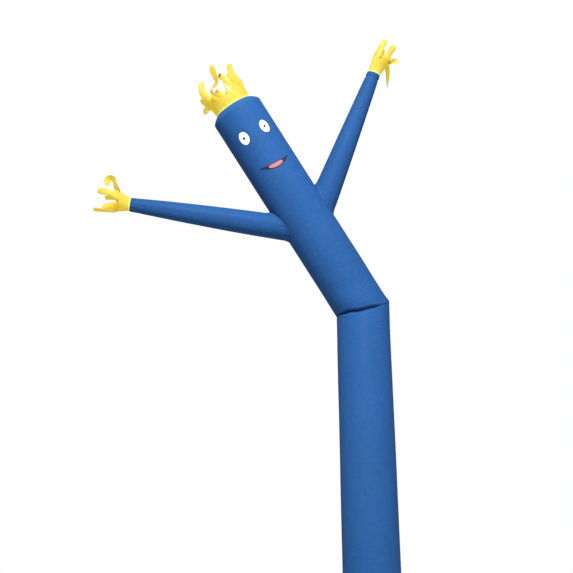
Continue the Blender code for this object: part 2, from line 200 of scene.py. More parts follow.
class Graph:
    """The node tree of one material or world."""

    def __init__(self, owner: bpy.types.Material | bpy.types.World) -> None:
        """Empties the node tree of its owner.

        Args:
            owner: the material or world.
        """
        self.owner = owner
        owner.use_nodes = True
        self.tree = owner.node_tree
        self.tree.nodes.clear()

    @classmethod
    def of_material(cls, name: str) -> "Graph":
        """The graph of a new material."""
        return cls(bpy.data.materials.new(name))

    def node(self, kind: str, settings: dict | None = None, inputs: dict | None = None) -> bpy.types.Node:
        """Adds any node.

        Args:
            kind: the node's type.
            settings: its properties, set first.
            inputs: its sockets by name or number, each a value, a Value or a socket to link.

        Returns:
            The node.
        """
        made = self.tree.nodes.new(kind)
        for name, setting in (settings or {}).items():
            setattr(made, name, setting)
        for name, given in (inputs or {}).items():
            if isinstance(given, Value):
                given = given.socket
            if isinstance(given, bpy.types.NodeSocket):
                self.tree.links.new(given, made.inputs[name])
            else:
                made.inputs[name].default_value = given
        return made

    def math(self, operation: str, *numbers: Value | float) -> Value:
        """Adds a Math node that works on numbers in order, and gives its result."""
        made = self.node("ShaderNodeMath", {"operation": operation}, dict(enumerate(numbers)))
        return Value(self, made.outputs[0])

    def attribute(self, name: str) -> Value:
        """A number that the piece keeps at each of its points."""
        made = self.node("ShaderNodeAttribute", {"attribute_name": name})
        return Value(self, made.outputs["Fac"])

    def cloth_place(self) -> tuple[Value, Value, bpy.types.NodeSocket]:
        """Where a point lies on the flat cloth.

        Returns:
            The metres across it, the metres along it, and both as one vector.
        """
        flat = self.node("ShaderNodeUVMap", {"uv_map": "cloth"}).outputs["UV"]
        parts = self.node("ShaderNodeSeparateXYZ", inputs={0: flat})
        return Value(self, parts.outputs["X"]), Value(self, parts.outputs["Y"]), flat

    def object_place(self) -> bpy.types.NodeSocket:
        """The point's place in the row frame."""
        return self.node("ShaderNodeTexCoord").outputs["Object"]

    def noise(self, place: bpy.types.NodeSocket, clouds: Clouds) -> Value:
        """Cloudy noise between 0 and 1.

        Args:
            place: the vector it is read at.
            clouds: its size and grain.

        Returns:
            The noise.
        """
        squeezed = self.node("ShaderNodeMapping", inputs={"Vector": place, "Scale": clouds.squeeze})
        made = self.node("ShaderNodeTexNoise", inputs={
            "Vector": squeezed.outputs["Vector"],
            "Scale": clouds.scale,
            "Detail": clouds.detail,
        })
        return Value(self, made.outputs["Fac"])

    def mix(self, share: Value, first: Colour | bpy.types.NodeSocket,
            second: Colour | bpy.types.NodeSocket) -> bpy.types.NodeSocket:
        """Mixes two colours: the first where the share is 0, the second where it is 1."""
        made = self.node("ShaderNodeMix", {"data_type": "RGBA"}, {0: share, 6: first, 7: second})
        return made.outputs[2]

    def bump(self, height: Value, distance: float, strength: float) -> bpy.types.NodeSocket:
        """The normal of a relief: its height, the metres that a height of 1 stands proud, its strength."""
        sockets = {"Height": height, "Distance": distance, "Strength": strength}
        return self.node("ShaderNodeBump", inputs=sockets).outputs["Normal"]

    def surface(self, shader: bpy.types.NodeSocket) -> bpy.types.Material:
        """Ends the graph with its shader and returns the material."""
        self.node("ShaderNodeOutputMaterial", inputs={"Surface": shader})
        return self.owner


def darker(colour: Colour, share: float) -> Colour:
    """A colour at a share of its brightness."""
    return (*(channel * share for channel in colour[:3]), 1.0)


def weave(across: Value, along: Value, turns: float) -> Value:
    """The crossed waves of a weave, from -1 to 1, which turn by this many radians to the metre."""
    return (across * turns).math("SINE") * (along * turns).math("SINE")


@dataclass(frozen=True)
class TubeNylon:
    """Coated nylon of the inflated tubes: a fine ripstop grid, soft creases, and stitches along seams."""

    name: str = "blue nylon"
    plain: Colour = (0.0230, 0.101, 0.300, 1.0)
    deep: Colour = (0.0188, 0.084, 0.258, 1.0)
    thread: Colour = (0.012, 0.044, 0.140, 1.0)
    roughness: float = 0.60
    roughness_spread: float = 0.12
    specular: float = 0.06
    # patterns
    clouds: Clouds = Clouds(2.6, 3.0, squeeze=(1.0, 1.0, 0.7))
    creases: Clouds = Clouds(3.2, 4.0, squeeze=(1.6, 1.6, 5.0))
    mottle: Clouds = Clouds(34.0, 3.0)
    grid_pitch: float = 0.006
    grid_line: float = 0.0009
    stitch_rows: Span = (0.004, 0.016)
    stitch_width: float = 0.0016
    stitch_pitch: float = 0.006
    stitch_span: float = 1.4  # of the pitch, so that one dash fades into the next
    pucker_pitch: float = 0.021
    pucker_reach: float = 0.05
    # how much of the deep colour each pattern brings
    clouds_fade: Span = (0.35, 0.75)
    clouds_share: float = 0.45
    mottle_fade: Span = (0.3, 0.7)
    mottle_share: float = 0.45
    grid_share: float = 0.10
    # how far each pattern stands proud, in units of the relief
    relief: float = 0.0022
    relief_strength: float = 0.5
    crease_height: float = 1.1
    pucker_height: float = 0.5
    grid_height: float = 0.05
    stitch_depth: float = 0.35

    def build(self) -> bpy.types.Material:
        """Builds the material, which reads the cloth's flat place and its distance from hems and seams.

        Returns:
            The material.
        """
        graph = Graph.of_material(self.name)
        across, along, _ = graph.cloth_place()
        hem = graph.attribute("hem")
        seam = graph.attribute("seam")
        grid = self.rib(across).math("MAXIMUM", self.rib(along))
        place = graph.object_place()
        clouds = graph.noise(place, self.clouds)
        creases = graph.noise(place, self.creases)
        mottle = graph.noise(place, self.mottle)
        stitches = self.stitches(hem, across) + self.stitches(seam, along)
        puckers = self.puckers(hem, across) + self.puckers(seam, along)
        share = (
            clouds.fade(*self.clouds_fade) * self.clouds_share
            + mottle.fade(*self.mottle_fade) * self.mottle_share
            + grid * self.grid_share
        )
        colour = graph.mix(share, self.plain, self.deep)
        colour = graph.mix(stitches.math("MINIMUM", 1.0), colour, self.thread)
        height = (
            creases * self.crease_height
            + puckers * self.pucker_height
            + grid * self.grid_height
            - stitches * self.stitch_depth
        )
        shader = graph.node("ShaderNodeBsdfPrincipled", inputs={
            "Base Color": colour,
            "Roughness": self.roughness + (clouds - 0.5) * self.roughness_spread,
            "Specular IOR Level": self.specular,
            "Normal": graph.bump(height, self.relief, self.relief_strength),
        })
        return graph.surface(shader.outputs["BSDF"])

    def rib(self, place: Value) -> Value:
        """The thick yarns of the ripstop grid, one way across the cloth."""
        return (place / self.grid_pitch).math("FRACT").line(0.5, 2 * self.grid_line / self.grid_pitch)

    def stitches(self, distance: Value, run: Value) -> Value:
        """Rows of dashes at set distances from an edge.

        Args:
            distance: metres from the edge.
            run: metres along it.

        Returns:
            The threads' mask.
        """
        first, second = (distance.line(row, self.stitch_width) for row in self.stitch_rows)
        dashes = (run / self.stitch_pitch).math("FRACT").line(0.5, self.stitch_span)
        return (first + second) * dashes

    def puckers(self, distance: Value, run: Value) -> Value:
        """Short waves where the stitches gather the cloth, fading away from the edge."""
        wave = (run * (2 * pi / self.pucker_pitch)).math("SINE") * 0.5 + 0.5
        return wave * distance.fade(self.pucker_reach, 0.0)


@dataclass(frozen=True)
class StreamerNylon:
    """Thin loose nylon of the streamers, which lets some light through, creases along its strips and glows
    with painted light.
    """

    name: str = "yellow nylon"
    pale: Colour = (0.50, 0.52, 0.135, 1.0)
    deep: Colour = (0.52, 0.34, 0.020, 1.0)
    # painted shade: the darker brown along the strips' cut edges stands in for their shaded outlines
    edge: Colour = (0.30, 0.17, 0.015, 1.0)
    # painted shade: the dark brown of the stitched tacks stands in for the shade at slit ends and strip
    # tips
    shadow_tack: Colour = (0.130, 0.075, 0.006, 1.0)
    # painted highlight: paler than the cloth, along the welt at the collar's foot
    welt: Colour = (0.85, 0.90, 0.30, 1.0)
    # painted light: an emission that lifts the cloth's shaded side, standing in for light that comes
    # through the thin nylon
    painted_glow: Colour = (0.60, 0.44, 0.032, 1.0)
    painted_glow_strength: float = 1.0
    lit: Colour = (0.60, 0.50, 0.050, 1.0)
    through: float = 0.38
    roughness: float = 0.5
    specular: float = 0.12
    # patterns, and how much of the deep colour they bring
    streaks: Clouds = Clouds(11.0, 3.0, squeeze=(3.0, 1.0, 1.0))
    streaks_fade: Span = (0.36, 0.66)
    streaks_share: float = 0.55
    patches: Clouds = Clouds(9.0, 2.0)
    patches_fade: Span = (0.42, 0.66)
    patches_share: float = 0.45
    # cut edges, darkened with painted shade, tacks of painted shade, and the welt's painted highlight by
    # its middle and width
    edge_shade_width: float = 0.0022
    edge_shade_share: float = 0.6
    shadow_tack_fade: Span = (0.25, 0.75)
    welt_highlight_span: Span = (0.036, 0.014)
    # relief
    weave_turns: float = 900.0  # radians of the weave's waves to the metre
    weave_height: float = 0.05
    relief: float = 0.004
    relief_strength: float = 0.6

    def build(self) -> bpy.types.Material:
        """Builds the material, which reads the cloth's flat place, its tacks of painted shade and how far
        its cut edges are.

        Returns:
            The material.
        """
        graph = Graph.of_material(self.name)
        across, along, flat = graph.cloth_place()
        streaks = graph.noise(flat, self.streaks)
        patches = graph.noise(graph.object_place(), self.patches)
        share = (
            streaks.fade(*self.streaks_fade) * self.streaks_share
            + patches.fade(*self.patches_fade) * self.patches_share
        )
        colour = graph.mix(share, self.pale, self.deep)
        # painted shade: darker along the cut edges
        cut = graph.attribute("hem").fade(self.edge_shade_width, 0.0)
        colour = graph.mix(cut * self.edge_shade_share, colour, self.edge)
        # painted highlight along the welt
        colour = graph.mix(along.line(*self.welt_highlight_span), colour, self.welt)
        # painted shade: dark brown where the cloth is marked with a tack
        shadow_tacked = graph.attribute("shadow_tack").fade(*self.shadow_tack_fade)
        colour = graph.mix(shadow_tacked, colour, self.shadow_tack)
        # painted light: the glow, dark where the tacks paint shade
        painted_glow = graph.mix(shadow_tacked, self.painted_glow, self.shadow_tack)
        height = streaks + self.weave_height * weave(across, along, self.weave_turns)
        normal = graph.bump(height, self.relief, self.relief_strength)
        front = graph.node("ShaderNodeBsdfPrincipled", inputs={
            "Base Color": colour,
            "Roughness": self.roughness,
            "Specular IOR Level": self.specular,
            "Emission Color": painted_glow,
            "Emission Strength": self.painted_glow_strength,
            "Normal": normal,
        })
        back = graph.node("ShaderNodeBsdfTranslucent", inputs={"Color": self.lit, "Normal": normal})
        both = graph.node("ShaderNodeMixShader", inputs={
            0: self.through,
            1: front.outputs["BSDF"],
            2: back.outputs["BSDF"],
        })
        return graph.surface(both.outputs["Shader"])


@dataclass(frozen=True)
class PatchCloth:
    """Close-woven cloth of a sewn-on patch, with a stitched border."""

    name: str
    plain: Colour
    border: Colour
    border_width: float = 0.003
    border_flat: float = 0.7  # how much of the border is in its full colour
    worn: float = 0.86
    worn_share: float = 0.5
    worn_fade: Span = (0.4, 0.8)
    mottle: Clouds = Clouds(60.0, 2.0)
    roughness: float = 0.65
    roughness_spread: float = 0.15
    specular: float = 0.3
    # relief
    weave_pitch: float = 0.0012
    weave_height: float = 0.15
    border_height: float = 0.8
    mottle_height: float = 0.3
    relief: float = 0.0008
    relief_strength: float = 0.6

    def build(self) -> bpy.types.Material:
        """Builds the material, which reads the patch's flat place and its distance from the patch's edge.

        Returns:
            The material.
        """
        graph = Graph.of_material(self.name)
        across, along, flat = graph.cloth_place()
        mottle = graph.noise(flat, self.mottle)
        worn = mottle.fade(*self.worn_fade) * self.worn_share
        colour = graph.mix(worn, self.plain, darker(self.plain, self.worn))
        satin = graph.attribute("hem").fade(self.border_width, self.border_width * self.border_flat)
        colour = graph.mix(satin, colour, self.border)
        height = (
            weave(across, along, 2 * pi / self.weave_pitch) * self.weave_height
            + satin * self.border_height
            + mottle * self.mottle_height
        )
        shader = graph.node("ShaderNodeBsdfPrincipled", inputs={
            "Base Color": colour,
            "Roughness": self.roughness + (mottle - 0.5) * self.roughness_spread,
            "Specular IOR Level": self.specular,
            "Normal": graph.bump(height, self.relief, self.relief_strength),
        })
        return graph.surface(shader.outputs["BSDF"])


@dataclass(frozen=True)
class StudioPaper:
    """Matt paper of the floor."""

    name: str = "studio floor"
    plain: Colour = (0.82, 0.82, 0.82, 1.0)
    shade: float = 0.97
    clouds: Clouds = Clouds(0.6, 2.0)
    roughness: float = 0.9
    specular: float = 0.1

    def build(self) -> bpy.types.Material:
        """Builds the material.

        Returns:
            The material.
        """
        graph = Graph.of_material(self.name)
        clouds = graph.noise(graph.object_place(), self.clouds)
        shader = graph.node("ShaderNodeBsdfPrincipled", inputs={
            "Base Color": graph.mix(clouds, self.plain, darker(self.plain, self.shade)),
            "Roughness": self.roughness,
            "Specular IOR Level": self.specular,
        })
        return graph.surface(shader.outputs["BSDF"])


class Finish(Enum):
    """The figure's finishes, and the record's slot that each one dresses."""

    TUBE = ("blue_nylon", TubeNylon())
    # painted shade: the sleeves wear a darker copy of the tube's nylon, so that the arms look shaded
    SLEEVE = ("blue_nylon", TubeNylon(
        "shaded sleeve nylon", plain=(0.0208, 0.092, 0.273, 1.0), deep=(0.0170, 0.076, 0.233, 1.0)))
    STREAMER = ("yellow_nylon", StreamerNylon())
    EYE = ("white_patch", PatchCloth(
        "white patch", plain=(0.82, 0.90, 0.945, 1.0), border=(0.012, 0.040, 0.110, 1.0),
        border_width=0.007))
    DARK = ("dark_patch", PatchCloth(
        "dark patch", plain=(0.016, 0.018, 0.026, 1.0), border=(0.020, 0.028, 0.042, 1.0)))
    TONGUE = ("pink_patch", PatchCloth(
        "pink patch", plain=(0.57, 0.190, 0.220, 1.0), border=(0.40, 0.09, 0.11, 1.0),
        border_width=0.004))

    @property
    def slot(self) -> str:
        """The record's material slot."""
        return self.value[0]

    def material(self) -> bpy.types.Material:
        """The finish's material, built the first time it is asked for."""
        finish = self.value[1]
        return bpy.data.materials.get(finish.name) or finish.build()


# ----------------------------------------------------------------------------------------------------------
# Cloth meshes


def add_object(name: str, data: bpy.types.ID) -> bpy.types.Object:
    """Adds an object with this data to the scene.

    Args:
        name: the object's name.
        data: its mesh, light or camera.

    Returns:
        The object.
    """
    made = bpy.data.objects.new(name, data)
    bpy.context.scene.collection.objects.link(made)
    return made


def add_mesh(name: str, mesh: bmesh.types.BMesh, material: bpy.types.Material) -> bpy.types.Object:
    """Adds an object that has a mesh and wears one material.

    Args:
        name: the object's name.
        mesh: its mesh, which is freed.
        material: its material.

    Returns:
        The object.
    """
    data = bpy.data.meshes.new(name)
    mesh.to_mesh(data)
    mesh.free()
    data.materials.append(material)
    return add_object(name, data)


@dataclass
class Row:
    """One row of points across a growing cloth, and the edges that join them."""

    verts: list[bmesh.types.BMVert]
    edges: list[bmesh.types.BMEdge]


class Cloth:
    """A sheet that is grown row by row, and keeps where each point lies on the flat cut."""

    def __init__(self) -> None:
        """Starts an empty sheet, with the numbers that it keeps at each point."""
        self.mesh = bmesh.new()
        self.across, self.along, self.hem, self.seam, self.shadow_tack = (
            self.mesh.verts.layers.float.new(name) for name in ("across", "along", "hem", "seam", "shadow_tack")
        )
        self.girth = 0.0

    def start_ring(self, points: Sequence[Vector], across: Sequence[float], girth: float) -> Row:
        """Starts a closed tube.

        Args:
            points: the first ring's points, in order.
            across: how far round the flat cloth each one lies.
            girth: the flat cloth's whole width.

        Returns:
            The ring.
        """
        self.girth = girth
        verts = bmesh.ops.create_circle(self.mesh, segments=len(points), radius=1.0)["verts"]
        for vert, point, place in zip(verts, points, across):
            vert.co = point
            vert[self.across] = place
        edges = list(dict.fromkeys(edge for vert in verts for edge in vert.link_edges))
        return Row(list(verts), edges)

    def start_line(self, points: Sequence[Vector], across: Sequence[float]) -> Row:
        """Starts an open strip.

        Args:
            points: the first line's points, in order.
            across: how far across the flat cloth each one lies.

        Returns:
            The line.
        """
        verts = [self.mesh.verts.new(point) for point in points]
        for vert, place in zip(verts, across):
            vert[self.across] = place
        edges = [self.mesh.edges.new(pair) for pair in zip(verts, verts[1:])]
        return Row(verts, edges)

    def grow(self, row: Row, points: Sequence[Vector], along: float) -> Row:
        """Extrudes a row to new points.

        Args:
            row: the row to grow from.
            points: where each of its points goes.
            along: how far along the flat cloth the new row lies.

        Returns:
            The new row.
        """
        made = bmesh.ops.extrude_edge_only(self.mesh, edges=row.edges)["geom"]
        fresh = {item for item in made if isinstance(item, bmesh.types.BMVert)}
        edges = [item for item in made if isinstance(item, bmesh.types.BMEdge) and set(item.verts) <= fresh]
        verts = []
        for vert, point in zip(row.verts, points):
            twin = next(edge.other_vert(vert) for edge in vert.link_edges if edge.other_vert(vert) in fresh)
            twin.co = point
            twin[self.across] = vert[self.across]
            twin[self.along] = along
            twin[self.shadow_tack] = 0.0
            verts.append(twin)
        return Row(verts, edges)

    def part_of(self, row: Row, first: int, count: int) -> Row:
        """A run of a row's points with the edges between them, to grow on its own.

        Args:
            row: the row.
            first: the number of the run's first point.
            count: how many points it has.

        Returns:
            The run.
        """
        verts = row.verts[first:first + count]
        edges = [self.mesh.edges.get(pair) for pair in zip(verts, verts[1:])]
        return Row(verts, edges)

    def mark(self, hem: Distance, seam: Distance | None = None) -> None:
        """Keeps at each point its distance from the nearest hem and lengthwise seam.

        Args:
            hem: gives the distance from a hem, from the metres across and along.
            seam: the same for a seam, where the cloth has one.
        """
        for vert in self.mesh.verts:
            vert[self.hem] = hem(vert[self.across], vert[self.along])
            if seam:
                vert[self.seam] = seam(vert[self.across], vert[self.along])

    def mark_tube(self, length: float) -> None:
        """Keeps the distances of a tube hemmed at both ends and sewn up along its start.

        Args:
            length: the tube's length along the flat cloth.
        """
        self.mark(
            hem=lambda _, along: min(along, length - along),
            seam=lambda across, _: min(across, self.girth - across),
        )

    def stitch(self, verts: Iterable[bmesh.types.BMVert]) -> None:
        """Marks points as covered by a patch of dark stitches, which paints shade there."""
        for vert in verts:
            vert[self.shadow_tack] = 1.0

    def lay_flat(self) -> None:
        """Writes the flat cut to the cloth's UV map, in metres."""
        layer = self.mesh.loops.layers.uv.new("cloth")
        for face in self.mesh.faces:
            places = [vert[self.across] for vert in face.verts]
            wraps = self.girth and max(places) - min(places) > self.girth / 2
            for loop in face.loops:
                across = loop.vert[self.across]
                if wraps and across < self.girth / 2:
                    across += self.girth
                loop[layer].uv = (across, loop.vert[self.along])

    def make_piece(self, name: str, node: str, thickness: float, finish: Finish,
                   outward: bool = False) -> bpy.types.Object:
        """Ends the sheet as a piece that rides on the figure.

        Args:
            name: the piece's name.
            node: the solid that it stands for.
            thickness: the cloth's thickness.
            finish: what it is made of.
            outward: whether the thickness is added outside the rows, and not inside them.

        Returns:
            The piece.
        """
        self.lay_flat()
        bmesh.ops.recalc_face_normals(self.mesh, faces=self.mesh.faces)
        piece = add_mesh(name, self.mesh, finish.material())
        piece.data.shade_smooth()
        solidify = piece.modifiers.new("cloth", "SOLIDIFY")
        solidify.thickness = thickness
        solidify.offset = 1 if outward else -1
        solidify.use_even_offset = True
        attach(piece, BODY)
        finish.slot
        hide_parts(node)
        log.info("%s: %d faces, %s", name, len(piece.data.polygons), finish.slot)
        return piece


# ----------------------------------------------------------------------------------------------------------
# The inflated tube


@dataclass(frozen=True)
class Stance:
    """How the figure stands: a straight leg up to the knee, and a torso tipped over it."""

    knee_height: float = 3.2
    lean: float = radians(38.35)
    lean_bearing: float = radians(-60.5)

    @property
    def lean_way(self) -> Vector:
        """The level direction that the torso leans in."""
        return around(self.lean_bearing)

    @property
    def tip(self) -> Matrix:
        """Carries the upright torso, its knee at the origin, to its tipped place."""
        turn = Matrix.Rotation(self.lean, 4, UP.cross(self.lean_way))
        return Matrix.Translation(UP * self.knee_height) @ turn


@dataclass(frozen=True)
class LipRow:
    """One row of cloth rolled into the knee's fold: its height, and shares of the fold's gap and depth."""

    height: float
    gap: float
    inset: float


@dataclass
class BodyTube:
    """The one-piece leg, torso and head: an upright tube, its buckled knee, and the crown drawn in on top.

    Distances from the knee are metres below it on the leg and metres above it on the torso.
    """

    stance: Stance
    radius: float = 0.2286
    sides: int = 144
    thickness: float = 0.0012
    row_pitch: float = 0.055
    knee_pitch: float = 0.011
    knee_reach: float = 0.55  # as far from the knee as its rows are set close
    # the knee's fold: how deep and open it is, and how it shuts towards the side that the torso leans to
    fold_depth: float = 0.022
    fold_gap: float = 0.0145
    fold_near: Ease = Ease(0.09, 0.075)
    fold_front: float = radians(5)
    fold_shutting: Ease = Ease(radians(30), radians(55))
    fold_shut: float = 0.12
    shut_pinch: float = 0.9
    lip_roll: tuple[LipRow, ...] = (
        LipRow(0.0150, 0.93, 0.00),
        LipRow(0.0100, 1.00, 0.02),
        LipRow(0.0075, 0.98, 0.09),
        LipRow(0.0055, 0.84, 0.24),
        LipRow(0.0045, 0.52, 0.52),
        LipRow(0.0035, 0.16, 0.84),
        LipRow(0.0015, 0.00, 1.00),
    )
    # the fold's line: how it sags in front and waves
    sag_depth: float = 0.0455
    sag_bearing: float = radians(12)
    sag_spread: float = radians(85)
    wave: float = 0.005
    waves: int = 9
    wave_start: float = 0.6
    wave_drift: Drift = Drift(3.1, start=(0.0, 0.0, 4.0))
    wave_drift_share: float = 0.35
    # the cloth beside the knee: how far its slant reaches, and how proud its lips and its taut side stand
    leg_slant: Ease = Ease(0.42, 0.33)
    torso_slant: Ease = Ease(0.42, 0.36)
    lip_proud: float = 0.022
    lip_near: Ease = Ease(0.27, 0.21)
    slack_past: Ease = Ease(radians(73), radians(38))
    taut_spread: float = radians(70)
    taut_proud: float = 0.006
    taut_leg_near: Ease = Ease(0.27, 0.24)
    taut_torso_near: Ease = Ease(0.08, 0.08)
    taut_flat: float = 0.010
    flat_near: Ease = Ease(0.40, 0.24)
    flat_past: Ease = Ease(0.0, 0.09)
    # crown
    shoulder_start: float = 2.022
    shoulder_rise: float = 0.0746
    shoulder_flat: float = 0.121
    shoulder_power: float = 1.4
    crown_opening: float = 0.168
    crown_steps: int = 14
    # unevenness of the cloth
    unevenness: float = 0.0016
    broad: Drift = Drift(1.1, 1.7, (7.3, 2.1, 0.4))
    fine: Drift = Drift(4.07, 6.29, (1.9, 8.4, 3.3))
    fine_share: float = 0.3
    # short level wrinkles beside the knee
    wrinkle: float = 0.0034
    wrinkle_on_torso: float = 0.6
    wrinkle_pitch: float = 0.036
    wrinkle_bearing: float = radians(52)
    wrinkle_focus: int = 6
    wrinkle_near: Ease = Ease(0.55, 0.40)
    wrinkle_past: Ease = Ease(0.03, 0.06)
    wrinkle_drift: Drift = Drift(2.0, 6.0)
    wrinkle_drift_turn: float = 4.5
    wrinkle_patches: Drift = Drift(4.0, 11.0, (3.0, 3.0, 3.0))
    # the felled seam up the back: its half width, its sloping edge as a share of that, and its height
    fell_seam: float = 0.0065
    fell_slope: float = 0.3
    fell_proud: float = 0.0011

    def bearings(self) -> list[float]:
        """The bearings of a ring's points, from the seam at the back and round, close together at the seam.

        Returns:
            The bearings.
        """
        inner = self.fell_seam / self.radius
        outer = inner * (1 + self.fell_slope)
        plain = steps(outer, 2 * pi - outer, self.sides)[:-1]
        return [pi + turn for turn in [0.0, inner, outer, *plain, 2 * pi - outer, 2 * pi - inner]]

    def from_taut(self, angle: float) -> float:
        """How far round a bearing is from the middle of the taut side."""
        return around(angle).angle(-self.stance.lean_way)

    def slack(self, angle: float) -> float:
        """How much the tube is buckled at the knee: 0 on the taut side, 1 past it."""
        return self.slack_past.up(self.from_taut(angle))

    def mouth(self, angle: float) -> float:
        """How open the knee's fold is: widest in front, pressed shut where the torso leans over it."""
        shut = self.fold_shutting.up(around(angle).angle(around(self.fold_front)))
        return self.slack(angle) * (1 - (1 - self.fold_shut) * shut)

    def pinched(self, angle: float) -> float:
        """What share of a lip's height is left where the fold is pressed shut."""
        return 1 - self.shut_pinch * (self.slack(angle) - self.mouth(angle))

    def taut(self, angle: float) -> float:
        """How near a bearing is to the middle of the taut side: 1 there, easing to 0."""
        return 1 - smoothstep(self.from_taut(angle) / self.taut_spread)

    def sag(self, angle: float) -> float:
        """How far the fold's line hangs below the knee's slanted plane."""
        away = around(angle).angle(around(self.sag_bearing))
        return self.sag_depth * (1 - smoothstep(away / self.sag_spread))

    def wander(self, angle: float) -> float:
        """How far the fold's lips wander up or down."""
        drift = self.wave_drift_share * self.wave_drift.at(angle)
        return self.wave * self.mouth(angle) * (sin(self.waves * angle + self.wave_start) + drift)

    def mitre(self, angle: float, radius: float) -> float:
        """How far the knee's slanted plane lies below the knee point at this place."""
        return tan(self.stance.lean / 2) * radius * around(angle).dot(self.stance.lean_way)

    def lip_gap(self, distance: float) -> float:
        """The share of the fold's gap by which the cloth is pulled away at a distance from the knee."""
        return self.fold_near.down(distance) * self.lip_roll[0].gap

    def fell(self, angle: float) -> float:
        """How far the felled seam stands out at a bearing."""
        edge = Ease(self.fell_seam * (1 + self.fell_slope), self.fell_seam * self.fell_slope)
        return self.fell_proud * edge.down(around(angle).angle(around(pi)) * self.radius)

    def uneven(self, angle: float, height: float) -> float:
        """How far the cloth stands in or out of a true cylinder, at a height above the knee."""
        drift = self.broad.at(angle, height) + self.fine_share * self.fine.at(angle, height)
        return self.unevenness * drift + self.fell(angle)

    def compressed(self, angle: float, height: float) -> float:
        """Short level wrinkles beside the knee, where the bent cloth is squeezed.

        Args:
            angle: the bearing.
            height: metres above the knee, or below it where it is negative.

        Returns:
            How far the cloth stands out there.
        """
        side = max(0.0, around(angle).dot(around(self.wrinkle_bearing)))
        reach = self.wrinkle_near.down(abs(height)) * self.wrinkle_past.up(abs(height))
        turn = self.wrinkle_drift_turn * self.wrinkle_drift.at(angle, height)
        ripple = sin(2 * pi * height / self.wrinkle_pitch + turn)
        patch = 0.5 + 0.5 * self.wrinkle_patches.at(angle, height)
        return self.wrinkle * side ** self.wrinkle_focus * reach * ripple * patch

    def leg_ring(self, drop: float, gap: float = 0.0, inset: float = 0.0) -> RingPoint:
        """A ring of the leg.

        Args:
            drop: metres below the knee.
            gap: share of the fold's gap that it is pulled down by.
            inset: share of the fold's depth that it is drawn in by.

        Returns:
            A function that gives the ring's point at a bearing.
        """
        slant = self.leg_slant.down(drop)
        proud = self.taut_proud * self.taut_leg_near.down(drop)

        def point(angle: float) -> Vector:
            """The ring's point at a bearing.

            Args:
                angle: the bearing.

            Returns:
                The point, in the row frame.
            """
            radius = self.radius - inset * self.fold_depth * self.slack(angle) + proud * self.taut(angle)
            height = slant * (self.wander(angle) - self.mitre(angle, radius) - self.sag(angle))
            height -= drop * (self.pinched(angle) if inset else 1.0)
            height -= gap * self.fold_gap * self.mouth(angle)
            radius += self.uneven(angle, height) + self.compressed(angle, height)
            return around(angle) * radius + UP * (self.stance.knee_height + height)

        return point

    def torso_ring(self, rise: float, gap: float = 0.0, inset: float = 0.0,
                   radius: float | None = None) -> RingPoint:
        """A ring of the torso.

        Args:
            rise: metres above the knee, up the torso's own axis.
            gap: share of the fold's gap that it is lifted by.
            inset: share of the fold's depth that it is drawn in by.
            radius: its radius, where it is not the tube's.

        Returns:
            A function that gives the ring's point at a bearing.
        """
        slant = self.torso_slant.down(rise)
        proud = self.lip_proud * self.lip_near.down(rise)
        corner = self.taut_proud * self.taut_torso_near.down(rise)
        corner -= self.taut_flat * self.flat_near.down(rise) * self.flat_past.up(rise)
        plain = self.radius if radius is None else radius
        tip = self.stance.tip

        def point(angle: float) -> Vector:
            """The ring's point at a bearing.

            Args:
                angle: the bearing.

            Returns:
                The point, in the row frame.
            """
            out = plain + proud * self.mouth(angle) * (1 - inset) + corner * self.taut(angle)
            out -= inset * self.fold_depth * self.slack(angle)
            height = slant * (self.wander(angle) + self.mitre(angle, out) - self.sag(angle))
            height += rise * (self.pinched(angle) if inset else 1.0)
            height += gap * self.fold_gap * self.mouth(angle)
            out += self.uneven(angle, height) + self.compressed(angle, height) * self.wrinkle_on_torso
            return tip @ (around(angle) * out + UP * height)

        return point

    def crown_height(self, radius: float) -> float:
        """How far up the torso the drawn-in crown has a radius.

        Args:
            radius: the radius.

        Returns:
            The height above the knee, up the torso's own axis.
        """
        across = (radius - self.shoulder_flat) / (self.radius - self.shoulder_flat)
        share = max(0.0, 1 - across ** self.shoulder_power)
        return self.shoulder_start + self.shoulder_rise * share ** (1 / self.shoulder_power)

    def on_skin(self, bearing: float, across: float, height: float, lift: float) -> Vector:
        """A place on the outside of the torso.

        Args:
            bearing: the bearing of the middle of what lies there.
            across: metres to the right of that middle, measured straight across.
            height: metres up the torso from the knee.
            lift: metres off the cloth.

        Returns:
            The place, in the row frame.
        """
        angle = bearing + asin(across / self.radius)
        radius = self.radius + self.uneven(angle, height) + lift
        return self.stance.tip @ (around(angle) * radius + UP * height)

    def leg_rings(self) -> Iterable[tuple[RingPoint, float]]:
        """Every ring from the foot to the bottom of the knee's fold.

        Yields:
            The ring's points, and its distance from the foot's hem along the flat cloth.
        """
        knee = self.stance.knee_height
        near = self.lip_roll[0].height
        yield self.leg_ring(knee), 0.0
        for drop in spaced(knee, self.knee_reach, self.row_pitch):
            yield self.leg_ring(drop), knee - drop
        for drop in spaced(self.knee_reach, near, self.knee_pitch):
            yield self.leg_ring(drop, self.lip_gap(drop)), knee - drop
        for row in self.lip_roll[1:]:
            along = knee - row.height + row.inset * self.fold_depth
            yield self.leg_ring(row.height, row.gap, row.inset), along

